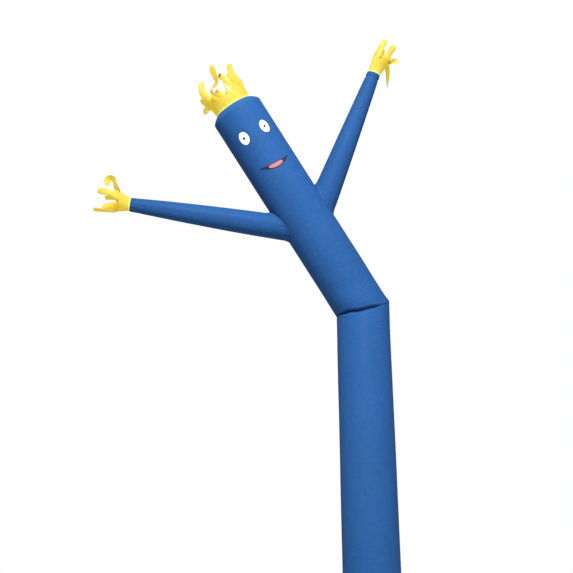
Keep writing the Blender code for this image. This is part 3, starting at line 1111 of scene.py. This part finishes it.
    def torso_rings(self) -> Iterable[tuple[RingPoint, float]]:
        """Every ring from the bottom of the knee's fold to where the crown starts to draw in.

        Yields:
            The ring's points, and its distance from the foot's hem along the flat cloth.
        """
        start = self.stance.knee_height + 2 * self.fold_depth
        near = self.lip_roll[0].height
        for row in reversed(self.lip_roll[1:]):
            along = start + row.height - row.inset * self.fold_depth
            yield self.torso_ring(row.height, row.gap, row.inset), along
        for rise in [near, *spaced(near, self.knee_reach, self.knee_pitch)]:
            yield self.torso_ring(rise, self.lip_gap(rise)), start + rise
        for rise in spaced(self.knee_reach, self.shoulder_start, self.row_pitch):
            yield self.torso_ring(rise), start + rise

    def crown_rings(self, along: float) -> Iterable[tuple[RingPoint, float]]:
        """Every ring of the crown, where the tube is drawn in to its opening.

        Args:
            along: how far from the foot's hem the crown starts, along the flat cloth.

        Yields:
            The ring's points, and its distance from the foot's hem along the flat cloth.
        """
        before = (self.radius, self.shoulder_start)
        for turn in steps(0.0, pi / 2, self.crown_steps):
            radius = blend(self.crown_opening, self.radius, cos(turn))
            height = self.crown_height(radius)
            along += dist(before, (radius, height))
            before = (radius, height)
            yield self.torso_ring(height, radius=radius), along

    def build(self) -> bpy.types.Object:
        """Returns:
            The piece.
        """
        cloth = Cloth()
        bearings = self.bearings()
        girth = 2 * pi * self.radius
        across = [(angle - pi) * self.radius for angle in bearings]
        rings = [*self.leg_rings(), *self.torso_rings()]
        rings += self.crown_rings(rings[-1][1])
        first, _ = rings[0]
        row = cloth.start_ring([first(angle) for angle in bearings], across, girth)
        for ring, along in rings[1:]:
            row = cloth.grow(row, [ring(angle) for angle in bearings], along)
        length = rings[-1][1]
        cloth.mark_tube(length)
        tube = cloth.make_piece("body_tube", "body", self.thickness, Finish.TUBE)
        return tube


# ----------------------------------------------------------------------------------------------------------
# Arms


@dataclass
class ArmSleeve:
    """One tapered arm, sewn onto the torso at its root and hemmed at its wrist.

    Its axis leaves the torso's at a height, a bearing and a rise above the level. Distances run along that
    axis from the torso's.
    """

    side: Side
    body: BodyTube
    bearing: float
    height: float
    rise: float
    reach: float
    root_radius: float
    wrist_radius: float
    belly: float
    drift: Drift
    unevenness: float = 0.0012
    sides: int = 96
    row_pitch: float = 0.03
    row_crowding: float = 1.35  # how much closer the rows lie at the root
    thickness: float = 0.0010
    # root
    root_flare: float = 0.011
    flare_reach: float = 0.045
    search_reach: float = 0.8
    search_rounds: int = 30
    gather: float = 0.00175
    gather_reach: float = 0.10
    gather_past: Ease = Ease(0.0, 0.02)
    gathers: int = 17
    gather_drift: float = 2.0
    # wrist: its gathers, rows set close at its hem, and the crease of the bent one
    wrist_gather: float = 0.0034
    wrist_hem: float = 0.025
    wrist_gather_reach: float = 0.06
    wrist_gathers: int = 13
    wrist_rows: tuple[float, ...] = (0.035, 0.023, 0.012)
    crease: float = 0.0
    crease_from_wrist: float = 0.045
    crease_width: float = 0.012

    @property
    def frame(self) -> Matrix:
        """Stands where the arm's axis meets the upright torso's: Z along the arm, X level.

        Returns:
            The frame, in the upright torso's.
        """
        along = around(self.bearing) * cos(self.rise) + UP * sin(self.rise)
        across = UP.cross(along).normalized()
        turn = Matrix((across, along.cross(across), along)).transposed().to_4x4()
        return Matrix.Translation(UP * self.height) @ turn

    def radius_at(self, distance: float) -> float:
        """The sleeve's radius.

        Args:
            distance: the distance along the arm.

        Returns:
            The radius there, without the flare at the root.
        """
        root = self.body.radius / cos(self.rise)
        share = max(0.0, (distance - root) / (self.reach - root))
        straight = blend(self.root_radius, self.wrist_radius, share)
        return straight + self.belly * 4 * share * (1 - share)

    def root_distance(self, angle: float) -> float:
        """How far out along the arm its cloth leaves the torso.

        Args:
            angle: the angle round the arm.

        Returns:
            The distance from the torso's axis.
        """
        near, far = 0.0, self.search_reach
        target = self.body.radius + SEAM_GAP
        for _ in range(self.search_rounds):
            middle = (near + far) / 2
            radius = self.radius_at(middle) + self.root_flare
            place = self.frame @ Vector((cos(angle) * radius, sin(angle) * radius, middle))
            if hypot(place.x, place.y) < target:
                near = middle
            else:
                far = middle
        return far

    def ripple(self, angle: float, out: float, left: float) -> float:
        """How far gathers and the crease push the cloth out.

        Args:
            angle: the angle round the arm.
            out: metres from the root.
            left: metres to the wrist.

        Returns:
            How far the cloth stands out there.
        """
        root = smoothstep(1 - out / self.gather_reach) * self.gather_past.up(out)
        wrist = smoothstep(1 - left / self.wrist_gather_reach) * smoothstep(left / self.wrist_hem)
        crease = smoothstep(1 - abs(left - self.crease_from_wrist) / self.crease_width)
        turn = self.gathers * angle + self.gather_drift * noise.noise(UP * angle)
        gathered = self.gather * root * sin(turn)
        gathered += self.wrist_gather * wrist * sin(self.wrist_gathers * angle)
        return gathered - self.crease * crease

    def point(self, angle: float, root: float, share: float) -> Vector:
        """A place on the sleeve.

        Args:
            angle: the angle round the arm.
            root: where the cloth leaves the torso at that angle.
            share: the share of the way from there to the wrist.

        Returns:
            The place, in the row frame.
        """
        distance = blend(root, self.reach, share)
        out = distance - root
        radius = self.radius_at(distance) + self.root_flare * max(0.0, 1 - out / self.flare_reach) ** 2
        radius += self.ripple(angle, out, self.reach - distance)
        radius += self.unevenness * self.drift.at(angle + pi / 2, distance)
        place = Vector((cos(angle) * radius, sin(angle) * radius, distance))
        return self.body.stance.tip @ self.frame @ place

    def row_shares(self, length: float) -> list[float]:
        """Where the sleeve's rows lie, as shares of its length.

        Args:
            length: the sleeve's mean length.

        Returns:
            The shares, from the first row past the root to the wrist.
        """
        from_wrist = list(self.wrist_rows)
        if self.crease:
            from_wrist += [self.crease_from_wrist + self.crease_width * step / 2 for step in range(-2, 3)]
        plain = [share ** self.row_crowding for share in spaced(0.0, 1.0, self.row_pitch / length)]
        return sorted(plain + [1 - distance / length for distance in from_wrist])

    def build(self) -> bpy.types.Object:
        """Returns:
            The piece.
        """
        cloth = Cloth()
        angles = [2 * pi * index / self.sides for index in range(self.sides)]
        roots = [self.root_distance(angle) for angle in angles]
        length = self.reach - sum(roots) / len(roots)
        girth = 2 * pi * self.root_radius
        across = [girth * index / self.sides for index in range(self.sides)]
        ring = list(zip(angles, roots))
        row = cloth.start_ring([self.point(*spot, 0.0) for spot in ring], across, girth)
        for share in self.row_shares(length):
            row = cloth.grow(row, [self.point(*spot, share) for spot in ring], share * length)
        cloth.mark_tube(length)
        word = self.side.word
        sleeve = cloth.make_piece(f"sleeve_{word}", f"arm_{word}", self.thickness, Finish.SLEEVE)
        area = pi * (self.root_radius + self.wrist_radius) * length
        return sleeve


# ----------------------------------------------------------------------------------------------------------
# Streamers


@dataclass(frozen=True)
class Strip:
    """One strip: its length, and in degrees its lean past its bend and at its tip, sway, twist and kink.

    The twist builds up along the strip as its share to the power ease. The kink is a sideways bend that
    comes and goes in its middle. A tacked strip ends in a patch of dark stitches, painted shade at its tip.
    """

    length: float
    lean: float
    tip: float
    sway: float
    twist: float
    kink: float = 0.0
    ease: float = 1.0
    shadow_tacked: bool = False
    kink_past: Ease = Ease(0.20, 0.20)
    kink_before: Ease = Ease(0.70, 0.20)

    def path(self, root_lean: float, count: int, bend: float) -> Iterable[tuple[Vector, Vector, float]]:
        """Follows the strip from its root: X outwards, Y across, Z on.

        Args:
            root_lean: the slope of the collar that it leaves.
            count: how many rows to give.
            bend: share of its length over which it turns to its own lean.

        Yields:
            The row's middle, its width's direction, and how far it is on from the root's width to its own.
        """
        place = Vector((0.0, 0.0, 0.0))
        for share in steps(0.0, 1.0, count):
            settled = smoothstep(share / bend)
            lean = blend(root_lean, radians(self.lean), settled)
            lean += radians(self.tip - self.lean) * smoothstep((share - bend) / (1 - bend))
            kinked = self.kink_past.up(share) * self.kink_before.down(share)
            sway = radians(self.sway * share + self.kink * kinked)
            run = Vector((sin(lean), cos(lean) * sin(sway), cos(lean) * cos(sway)))
            turned = radians(self.twist * share ** self.ease)
            width = Matrix.Rotation(turned, 3, run) @ Vector((0.0, cos(sway), -sin(sway)))
            place = place + run * (self.length / count)
            yield place, width, settled


@dataclass
class Streamers:
    """A collar sewn inside an opening and slit into strips that fly loose.

    The opening's frame has its Z along the opening's axis. The collar flares by flare all round, and by
    bias more at the bearing toward. Its ruffles and its strips' flutter start at phase in the noise.
    """

    name: str
    node: str
    holder: str
    frame: Matrix
    radius: float
    height: float
    flare: float
    bias: float
    toward: float
    strip_width: float
    strips: tuple[Strip, ...]
    phase: float = 0.0
    # collar
    tuck: float = 0.03
    slit: float = 0.005
    flare_power: float = 1.5
    ruffle: float = 0.0028
    ruffle_turn: float = 2.6
    ruffle_run: float = 9.0
    welt: float = 0.0022
    welt_height: float = 0.013
    welt_past: Ease = Ease(0.0, 0.003)
    welt_over: float = 0.004
    # strips
    thickness: float = 0.0009
    bend: float = 0.4
    cup: float = 0.0045
    narrowing: float = 0.22
    narrow_past: Ease = Ease(0.86, 0.14)
    flutter: Place = (0.9, 4.0, 3.7)  # noise across a strip, along it, and from one strip to the next
    upright: float = 0.9  # where a row's width is as steep as this, its depth is taken across X, not Z
    slit_shadow_tacks: tuple[int, ...] = ()  # strips whose slit to the next one ends in dark stitches, painted shade at the slit's end
    shadow_tack_from: float = 0.9
    # rows and columns of the mesh
    columns: int = 5
    tuck_rows: int = 2
    welt_rows: int = 4
    collar_rows: int = 9
    strip_rows: int = 27

    def flare_at(self, angle: float) -> float:
        """How far the collar's top flares at a bearing."""
        return self.flare + self.bias * cos(angle - self.toward)

    def side_of(self, column: int) -> float:
        """Where a column lies across its strip, from -1 to 1."""
        return 2 * column / (self.columns - 1) - 1

    def bearing_of(self, strip: int, column: int) -> float:
        """The bearing of one column of a strip at its root."""
        pitch = 2 * pi / len(self.strips)
        return pitch * strip + (pitch - self.slit / self.radius) / 2 * self.side_of(column)

    def collar_point(self, angle: float, height: float) -> Vector:
        """A place on the collar, in its opening's frame.

        Args:
            angle: the bearing round the opening.
            height: metres above the opening.

        Returns:
            The place.
        """
        share = max(0.0, height / self.height)
        wave = noise.noise(around(angle) * self.ruffle_turn + UP * (height * self.ruffle_run + self.phase))
        welt = self.welt_past.up(height) * Ease(self.welt_height, self.welt_over).down(height)
        radius = self.radius + self.flare_at(angle) * share ** self.flare_power
        radius += self.ruffle * share * wave + self.welt * welt
        return around(angle) * radius + UP * height

    def strip_row(self, strip: int, place: Vector, width: Vector, settled: float,
                  share: float) -> list[Vector]:
        """The points across one row of a strip.

        Args:
            strip: the strip's number.
            place: the row's middle in the strip's own frame.
            width: its width's direction.
            settled: how far it has gone from its root's width to its own.
            share: its share of the strip's length.

        Returns:
            The points, in the opening's frame.
        """
        bearings = [self.bearing_of(strip, column) for column in range(self.columns)]
        roots = [self.collar_point(angle, self.height) for angle in bearings]
        middle = (roots[0] + roots[-1]) / 2
        out = Vector((middle.x, middle.y, 0.0)).normalized()
        turn = Matrix((out, UP.cross(out), UP)).transposed()
        half = blend((roots[-1] - roots[0]).length / 2, self.strip_width / 2, settled)
        half *= 1 - self.narrowing * self.narrow_past.up(share)
        away = width.cross(UP if abs(width.z) < self.upright else Vector((1.0, 0.0, 0.0))).normalized()
        points = []
        for column, root in enumerate(roots):
            side = self.side_of(column)
            across, along, between = self.flutter
            flutter = noise.noise(Vector((side * across, share * along, strip * between + self.phase)))
            depth = (self.cup * (0.5 - side * side) + self.ruffle * flutter) * settled
            bulge = (root - middle - (root - middle).project(turn.col[1])) * (1 - settled)
            points.append(middle + turn @ (place + width * half * side + away * depth) + bulge)
        return points

    def grow_collar(self, cloth: Cloth) -> Row:
        """Grows the collar from inside its opening up to the strips' roots.

        Args:
            cloth: the empty cloth to grow it in.

        Returns:
            Its last row.
        """
        count = len(self.strips)
        columns = range(self.columns)
        bearings = [self.bearing_of(strip, column) for strip in range(count) for column in columns]
        girth = 2 * pi * self.radius
        heights = [
            -self.tuck,
            *steps(-self.tuck, 0.0, self.tuck_rows),
            *steps(0.0, self.welt_height, self.welt_rows),
            *steps(self.welt_height, self.height, self.collar_rows),
        ]
        rows = [[self.frame @ self.collar_point(angle, height) for angle in bearings] for height in heights]
        row = cloth.start_ring(rows[0], [angle * self.radius % girth for angle in bearings], girth)
        for points, height in zip(rows[1:], heights[1:]):
            row = cloth.grow(row, points, height + self.tuck)
        # painted shade: dark tacks at the ends of the chosen slits
        for strip in self.slit_shadow_tacks:
            last = (strip + 1) * self.columns - 1
            cloth.stitch((row.verts[last], row.verts[(last + 1) % len(row.verts)]))
        return row

    def grow_strip(self, cloth: Cloth, collar: Row, number: int) -> None:
        """Grows one strip from the collar's last row.

        Args:
            cloth: the cloth that it grows in.
            collar: the collar's last row.
            number: the strip's number.
        """
        strip = self.strips[number]
        flare = self.flare_at(2 * pi * number / len(self.strips))
        slope = atan(self.flare_power * flare / self.height)
        row = cloth.part_of(collar, number * self.columns, self.columns)
        for step, (middle, width, settled) in enumerate(strip.path(slope, self.strip_rows, self.bend), 1):
            share = step / self.strip_rows
            points = [self.frame @ point for point in self.strip_row(number, middle, width, settled, share)]
            row = cloth.grow(row, points, self.tuck + self.height + strip.length * share)
            # painted shade: a dark tack at the tip of a tacked strip
            if strip.shadow_tacked and share > self.shadow_tack_from:
                cloth.stitch(row.verts[1:-1])

    def build(self) -> bpy.types.Object:
        """Returns:
            The piece.
        """
        cloth = Cloth()
        collar = self.grow_collar(cloth)
        for number in range(len(self.strips)):
            self.grow_strip(cloth, collar, number)
        girth = 2 * pi * self.radius
        pitch = girth / len(self.strips)
        top = self.tuck + self.height
        cloth.mark(
            hem=lambda across, along: (
                pitch if along < top else pitch / 2 - abs((across + pitch / 2) % pitch - pitch / 2)
            ),
        )
        piece = cloth.make_piece(self.name, self.node, self.thickness, Finish.STREAMER)
        lengths = [strip.length for strip in self.strips]
        area = girth * top + sum(lengths) * self.strip_width
        top + max(lengths)
        return piece


# ----------------------------------------------------------------------------------------------------------
# Face

PATCH_THICKNESS = 0.0007
PATCH_LIFT = 0.0006  # from the torso's skin to the underside of a patch
TOP_LIFT = PATCH_LIFT + PATCH_THICKNESS + SEAM_GAP  # the same for a patch that lies on another


@dataclass
class OvalPatch:
    """An oval of cloth sewn flat on the torso, grown inwards from its edge in rings of the given scales."""

    name: str
    node: str
    body: BodyTube
    finish: Finish
    bearing: float
    height: float
    width: float
    length: float
    lift: float = PATCH_LIFT
    sides: int = 64
    scales: tuple[float, ...] = (0.975, 0.93, 0.87, 0.7, 0.45, 0.2)

    def ring(self, scale: float) -> list[Vector]:
        """The oval's points on the torso, shrunk to a scale.

        Args:
            scale: the scale.

        Returns:
            The points.
        """
        turns = [2 * pi * index / self.sides for index in range(self.sides)]
        across, up = self.width / 2 * scale, self.length / 2 * scale
        return [
            self.body.on_skin(self.bearing, cos(turn) * across, self.height + sin(turn) * up, self.lift)
            for turn in turns
        ]

    def build(self) -> bpy.types.Object:
        """Returns:
            The piece.
        """
        cloth = Cloth()
        small = min(self.width, self.length) / 2
        across = [self.length * index / self.sides for index in range(self.sides)]
        row = cloth.start_ring(self.ring(1.0), across, self.length)
        for scale in self.scales:
            row = cloth.grow(row, self.ring(scale), small * (1 - scale))
        bmesh.ops.holes_fill(cloth.mesh, edges=row.edges, sides=self.sides)
        cloth.mark(hem=lambda _, along: along)
        patch = cloth.make_piece(self.name, self.node, PATCH_THICKNESS, self.finish, outward=True)
        area = pi * self.width * self.length / 4
        return patch


@dataclass
class SmilePatch:
    """A crescent of cloth between two arcs that meet at the mouth's corners.

    One with a margin lies on the mouth: it keeps that far from both arcs, and its ends are round.
    """

    name: str
    node: str
    body: BodyTube
    finish: Finish
    mouth_half_width: float
    half_width: float
    margin: float = 0.0
    lift: float = PATCH_LIFT
    corner_height: float = 1.473
    aside: float = 0.006
    slant: float = -0.075
    top_dip: float = 0.013
    bottom_dip: float = 0.058
    end_roundness: int = 6
    columns: int = 60
    rows: int = 8
    taper: float = 0.994  # share of the half width at which the ends are cut, before they come to a point

    def arc(self, across: float, dip: float) -> float:
        """The height of one of the mouth's arcs at a distance across from its middle."""
        return self.corner_height - dip * (1 - (across / self.mouth_half_width) ** 2)

    def span(self, across: float) -> Span:
        """Where the crescent starts and ends up the torso at one place.

        Args:
            across: metres to the right of its middle.

        Returns:
            Its lowest and highest place there.
        """
        low = self.arc(across, self.bottom_dip) + self.margin
        high = self.arc(across, self.top_dip) - self.margin
        if not self.margin:
            return low, high
        middle = (low + high) / 2
        shape = sqrt(max(0.0, 1 - (across / self.half_width) ** self.end_roundness))
        return blend(middle, low, shape), blend(middle, high, shape)

    def column(self, across: float) -> list[Vector]:
        """The points up the crescent at one place.

        Args:
            across: metres to the right of its middle.

        Returns:
            The points.
        """
        low, high = self.span(across)
        place, turned = self.aside + across, self.slant * across
        heights = [low, *steps(low, high, self.rows)]
        return [self.body.on_skin(0.0, place, height + turned, self.lift) for height in heights]

    def build(self) -> bpy.types.Object:
        """Returns:
            The piece.
        """
        cloth = Cloth()
        end = self.half_width * self.taper
        places = [-end, *steps(-end, end, self.columns)]
        low, high = self.span(0.0)
        tallest = high - low
        row = cloth.start_line(self.column(-end), [0.0, *steps(0.0, tallest, self.rows)])
        area = 0.0
        for before, place in zip(places, places[1:]):
            low, high = self.span(place)
            area += (high - low) * (place - before)
            row = cloth.grow(row, self.column(place), place + end)
        cloth.mark(hem=lambda up, along: min(up, tallest - up, along, 2 * end - along))
        patch = cloth.make_piece(self.name, self.node, PATCH_THICKNESS, self.finish, outward=True)
        2 * end
        return patch


# ----------------------------------------------------------------------------------------------------------
# The figure


@dataclass
class AirDancer:
    """The whole figure, from its foot sleeve to its streamers."""

    stance: Stance = Stance()
    eye_bearing: float = radians(26.5)
    eye_height: float = 1.769
    eye_width: float = 0.098
    eye_length: float = 0.132
    pupil_size: float = 0.022
    mouth_half_width: float = 0.136
    tongue_half_width: float = 0.066
    tongue_margin: float = 0.0042

    def __post_init__(self) -> None:
        """Sets out the body and the arms that the other pieces are placed by."""
        self.body = BodyTube(self.stance)
        self.arms = (
            ArmSleeve(
                Side.LEFT, self.body, bearing=radians(-88), height=0.79, rise=radians(40.7), reach=1.589,
                root_radius=0.1080, wrist_radius=0.0575, belly=0.0085,
                drift=Drift(1.3, 2.86, (7.11, 1.0, 2.0)),
            ),
            ArmSleeve(
                Side.RIGHT, self.body, bearing=radians(90), height=0.82, rise=radians(35.5), reach=1.490,
                root_radius=0.1180, wrist_radius=0.0571, belly=0.0025,
                drift=Drift(1.3, 2.86, (7.38, 1.0, 2.0)), crease=0.0045,
            ),
        )

    def hair(self) -> Streamers:
        """The streamers that fly up from the crown.

        Returns:
            The streamers, not yet built.
        """
        opening = self.body.crown_height(self.body.crown_opening)
        return Streamers(
            "hair_streamers", "hair", "body_tube",
            self.stance.tip @ Matrix.Translation(UP * opening),
            radius=self.body.crown_opening - self.body.thickness - COLLAR_GAP,
            height=0.10, flare=0.008, bias=0.004, toward=radians(-110), strip_width=0.050,
            strips=(
                Strip(0.115, -8, -20, 20, 85, ease=0.3),
                Strip(0.175, -7, -12, -24, -40, shadow_tacked=True),
                Strip(0.15, 4, 0, -20, -30),
                Strip(0.225, -12, 24, -2, -60, ease=0.5),
                Strip(0.078, 2, 4, -6, 35),
                Strip(0.075, 4, 8, 8, 50, shadow_tacked=True),
                Strip(0.13, 4, 10, -10, -25, shadow_tacked=True),
                Strip(0.20, 26, 50, 8, 40),
                Strip(0.22, 58, 98, -10, 20),
                Strip(0.24, 62, 96, 10, -30),
                Strip(0.21, 58, 102, -6, 30),
                Strip(0.13, 50, 100, 8, -20),
                Strip(0.105, 68, 172, -4, 82, ease=0.4),
                Strip(0.115, 16, 6, 0, 70, ease=0.5),
                Strip(0.245, -6, -42, -6, 85, ease=0.5),
                Strip(0.13, 12, -10, -6, 60, ease=0.6),
                Strip(0.335, 4, 0, 17, 220, kink=78, ease=0.6),
                Strip(0.074, -12, -14, -34, 45, shadow_tacked=True),
            ),
        )

    def hand(self, arm: ArmSleeve) -> Streamers:
        """The streamers that fly from a wrist.

        Args:
            arm: the arm.

        Returns:
            The streamers, not yet built.
        """
        flight = {
            Side.LEFT: dict(
                height=0.103, flare=0.037, bias=0.015, toward=radians(170), strip_width=0.052, phase=11.0,
                strips=(
                    Strip(0.195, 3, 2, 4, 32, ease=0.5),
                    Strip(0.12, 16, 18, -14, 60),
                    Strip(0.175, 2, -2, 6, -50),
                    Strip(0.24, 71, -122, 6, 62, ease=0.4),
                    Strip(0.14, 20, -4, 22, -30),
                    Strip(0.15, 10, 22, -10, 40),
                ),
                slit_shadow_tacks=(0, 1, 2),
            ),
            Side.RIGHT: dict(
                height=0.135, flare=0.024, bias=0.023, toward=radians(-30), strip_width=0.052, phase=23.0,
                strips=(
                    Strip(0.100, 50, 54, 2, 80, ease=0.4),
                    Strip(0.318, 118, 172, 14, 62, ease=2.2),
                    Strip(0.155, 8, 10, -56, 10),
                    Strip(0.05, 0, -6, 4, -30),
                    Strip(0.17, -4, -12, 6, 15),
                    Strip(0.145, 6, 10, 10, -35),
                ),
                slit_shadow_tacks=(4, 5),
            ),
        }[arm.side]
        word = arm.side.word
        return Streamers(
            f"hand_streamers_{word}", f"hand_{word}", f"sleeve_{word}",
            self.stance.tip @ arm.frame @ Matrix.Translation(UP * arm.reach),
            radius=arm.wrist_radius - arm.thickness - COLLAR_GAP, **flight,
        )

    def face(self) -> Iterable[OvalPatch | SmilePatch]:
        """The face's patches, the lower ones first.

        Yields:
            The next patch, not yet built.
        """
        for side in Side:
            spot = {"body": self.body, "bearing": side.value * self.eye_bearing, "height": self.eye_height}
            yield OvalPatch(f"eye_patch_{side.word}", f"eye_{side.word}", finish=Finish.EYE,
                            width=self.eye_width, length=self.eye_length, **spot)
            yield OvalPatch(f"pupil_patch_{side.word}", f"pupil_{side.word}", finish=Finish.DARK,
                            width=self.pupil_size, length=self.pupil_size, lift=TOP_LIFT, **spot)
        yield SmilePatch("mouth_patch", "mouth", self.body, Finish.DARK,
                         self.mouth_half_width, self.mouth_half_width)
        yield SmilePatch("tongue_patch", "tongue", self.body, Finish.TONGUE,
                         self.mouth_half_width, self.tongue_half_width, self.tongue_margin, TOP_LIFT)

    def build(self) -> None:
        """Builds every piece in order."""
        self.body.build()
        for arm in self.arms:
            arm.build()
            self.hand(arm).build()
        self.hair().build()
        for patch in self.face():
            patch.build()


# ----------------------------------------------------------------------------------------------------------
# Studio


@dataclass(frozen=True)
class SoftBox:
    """One round area light, aimed at a place."""

    name: str
    place: Place
    aim: Place
    size: float
    power: float
    spread: float

    def build(self) -> None:
        """Adds the light."""
        data = bpy.data.lights.new(self.name, "AREA")
        data.shape = "DISK"
        data.size = self.size
        data.energy = self.power
        data.spread = self.spread
        light = add_object(self.name, data)
        light.location = self.place
        way = Vector(self.aim) - Vector(self.place)
        light.rotation_euler = way.to_track_quat("-Z", "Y").to_euler()


@dataclass(frozen=True)
class Studio:
    """The floor, the white room, the soft light and the camera."""

    floor_centre: Place = (-0.3, 1.2, -0.001)
    floor_radius: float = 7.0
    floor_sides: int = 96
    surroundings: float = 0.37
    camera_place: Place = (-0.665, -6.62, 0.976)
    camera_pitch: float = radians(20.17)
    focal_pixels: float = 800.0
    picture_pixels: float = 573.0
    sensor: float = 36.0
    light: SoftBox = SoftBox(
        "key", place=(-0.6, -9.6, 8.3), aim=(-0.5, -0.3, 3.7), size=3.0, power=290.0, spread=radians(75))

    def build(self) -> None:
        """Builds the room and sets the scene's camera."""
        self.build_floor()
        self.build_room()
        self.light.build()
        self.build_camera()
        bpy.context.scene.view_settings.view_transform = "Standard"

    def build_floor(self) -> None:
        """Lays the floor that the foot stands on."""
        mesh = bmesh.new()
        bmesh.ops.create_circle(mesh, cap_ends=True, segments=self.floor_sides, radius=self.floor_radius)
        bmesh.ops.translate(mesh, verts=mesh.verts, vec=self.floor_centre)
        add_mesh("floor", mesh, StudioPaper().build())

    def build_room(self) -> None:
        """Makes the surroundings white to look at and dim as a light."""
        graph = Graph(bpy.data.worlds.new("room"))
        seen = graph.node("ShaderNodeLightPath")
        dim = graph.node("ShaderNodeBackground", inputs={"Color": WHITE, "Strength": self.surroundings})
        bright = graph.node("ShaderNodeBackground", inputs={"Color": WHITE})
        room = graph.node("ShaderNodeMixShader", inputs={
            0: seen.outputs["Is Camera Ray"],
            1: dim.outputs["Background"],
            2: bright.outputs["Background"],
        })
        graph.node("ShaderNodeOutputWorld", inputs={"Surface": room.outputs["Shader"]})
        bpy.context.scene.world = graph.owner

    def build_camera(self) -> None:
        """Adds the camera at its standing place, tilted up at the figure."""
        data = bpy.data.cameras.new("camera")
        data.sensor_width = self.sensor
        data.sensor_fit = "HORIZONTAL"
        data.lens = self.focal_pixels * self.sensor / self.picture_pixels
        camera = add_object("camera", data)
        camera.location = self.camera_place
        camera.rotation_euler = (pi / 2 + self.camera_pitch, 0.0, 0.0)
        bpy.context.scene.camera = camera


def main() -> None:
    """Builds the figure and its studio."""
    logging.basicConfig(level=logging.INFO, format="%(name)s %(message)s")
    AirDancer().build()
    Studio().build()


if __name__ == "__main__":
    main()
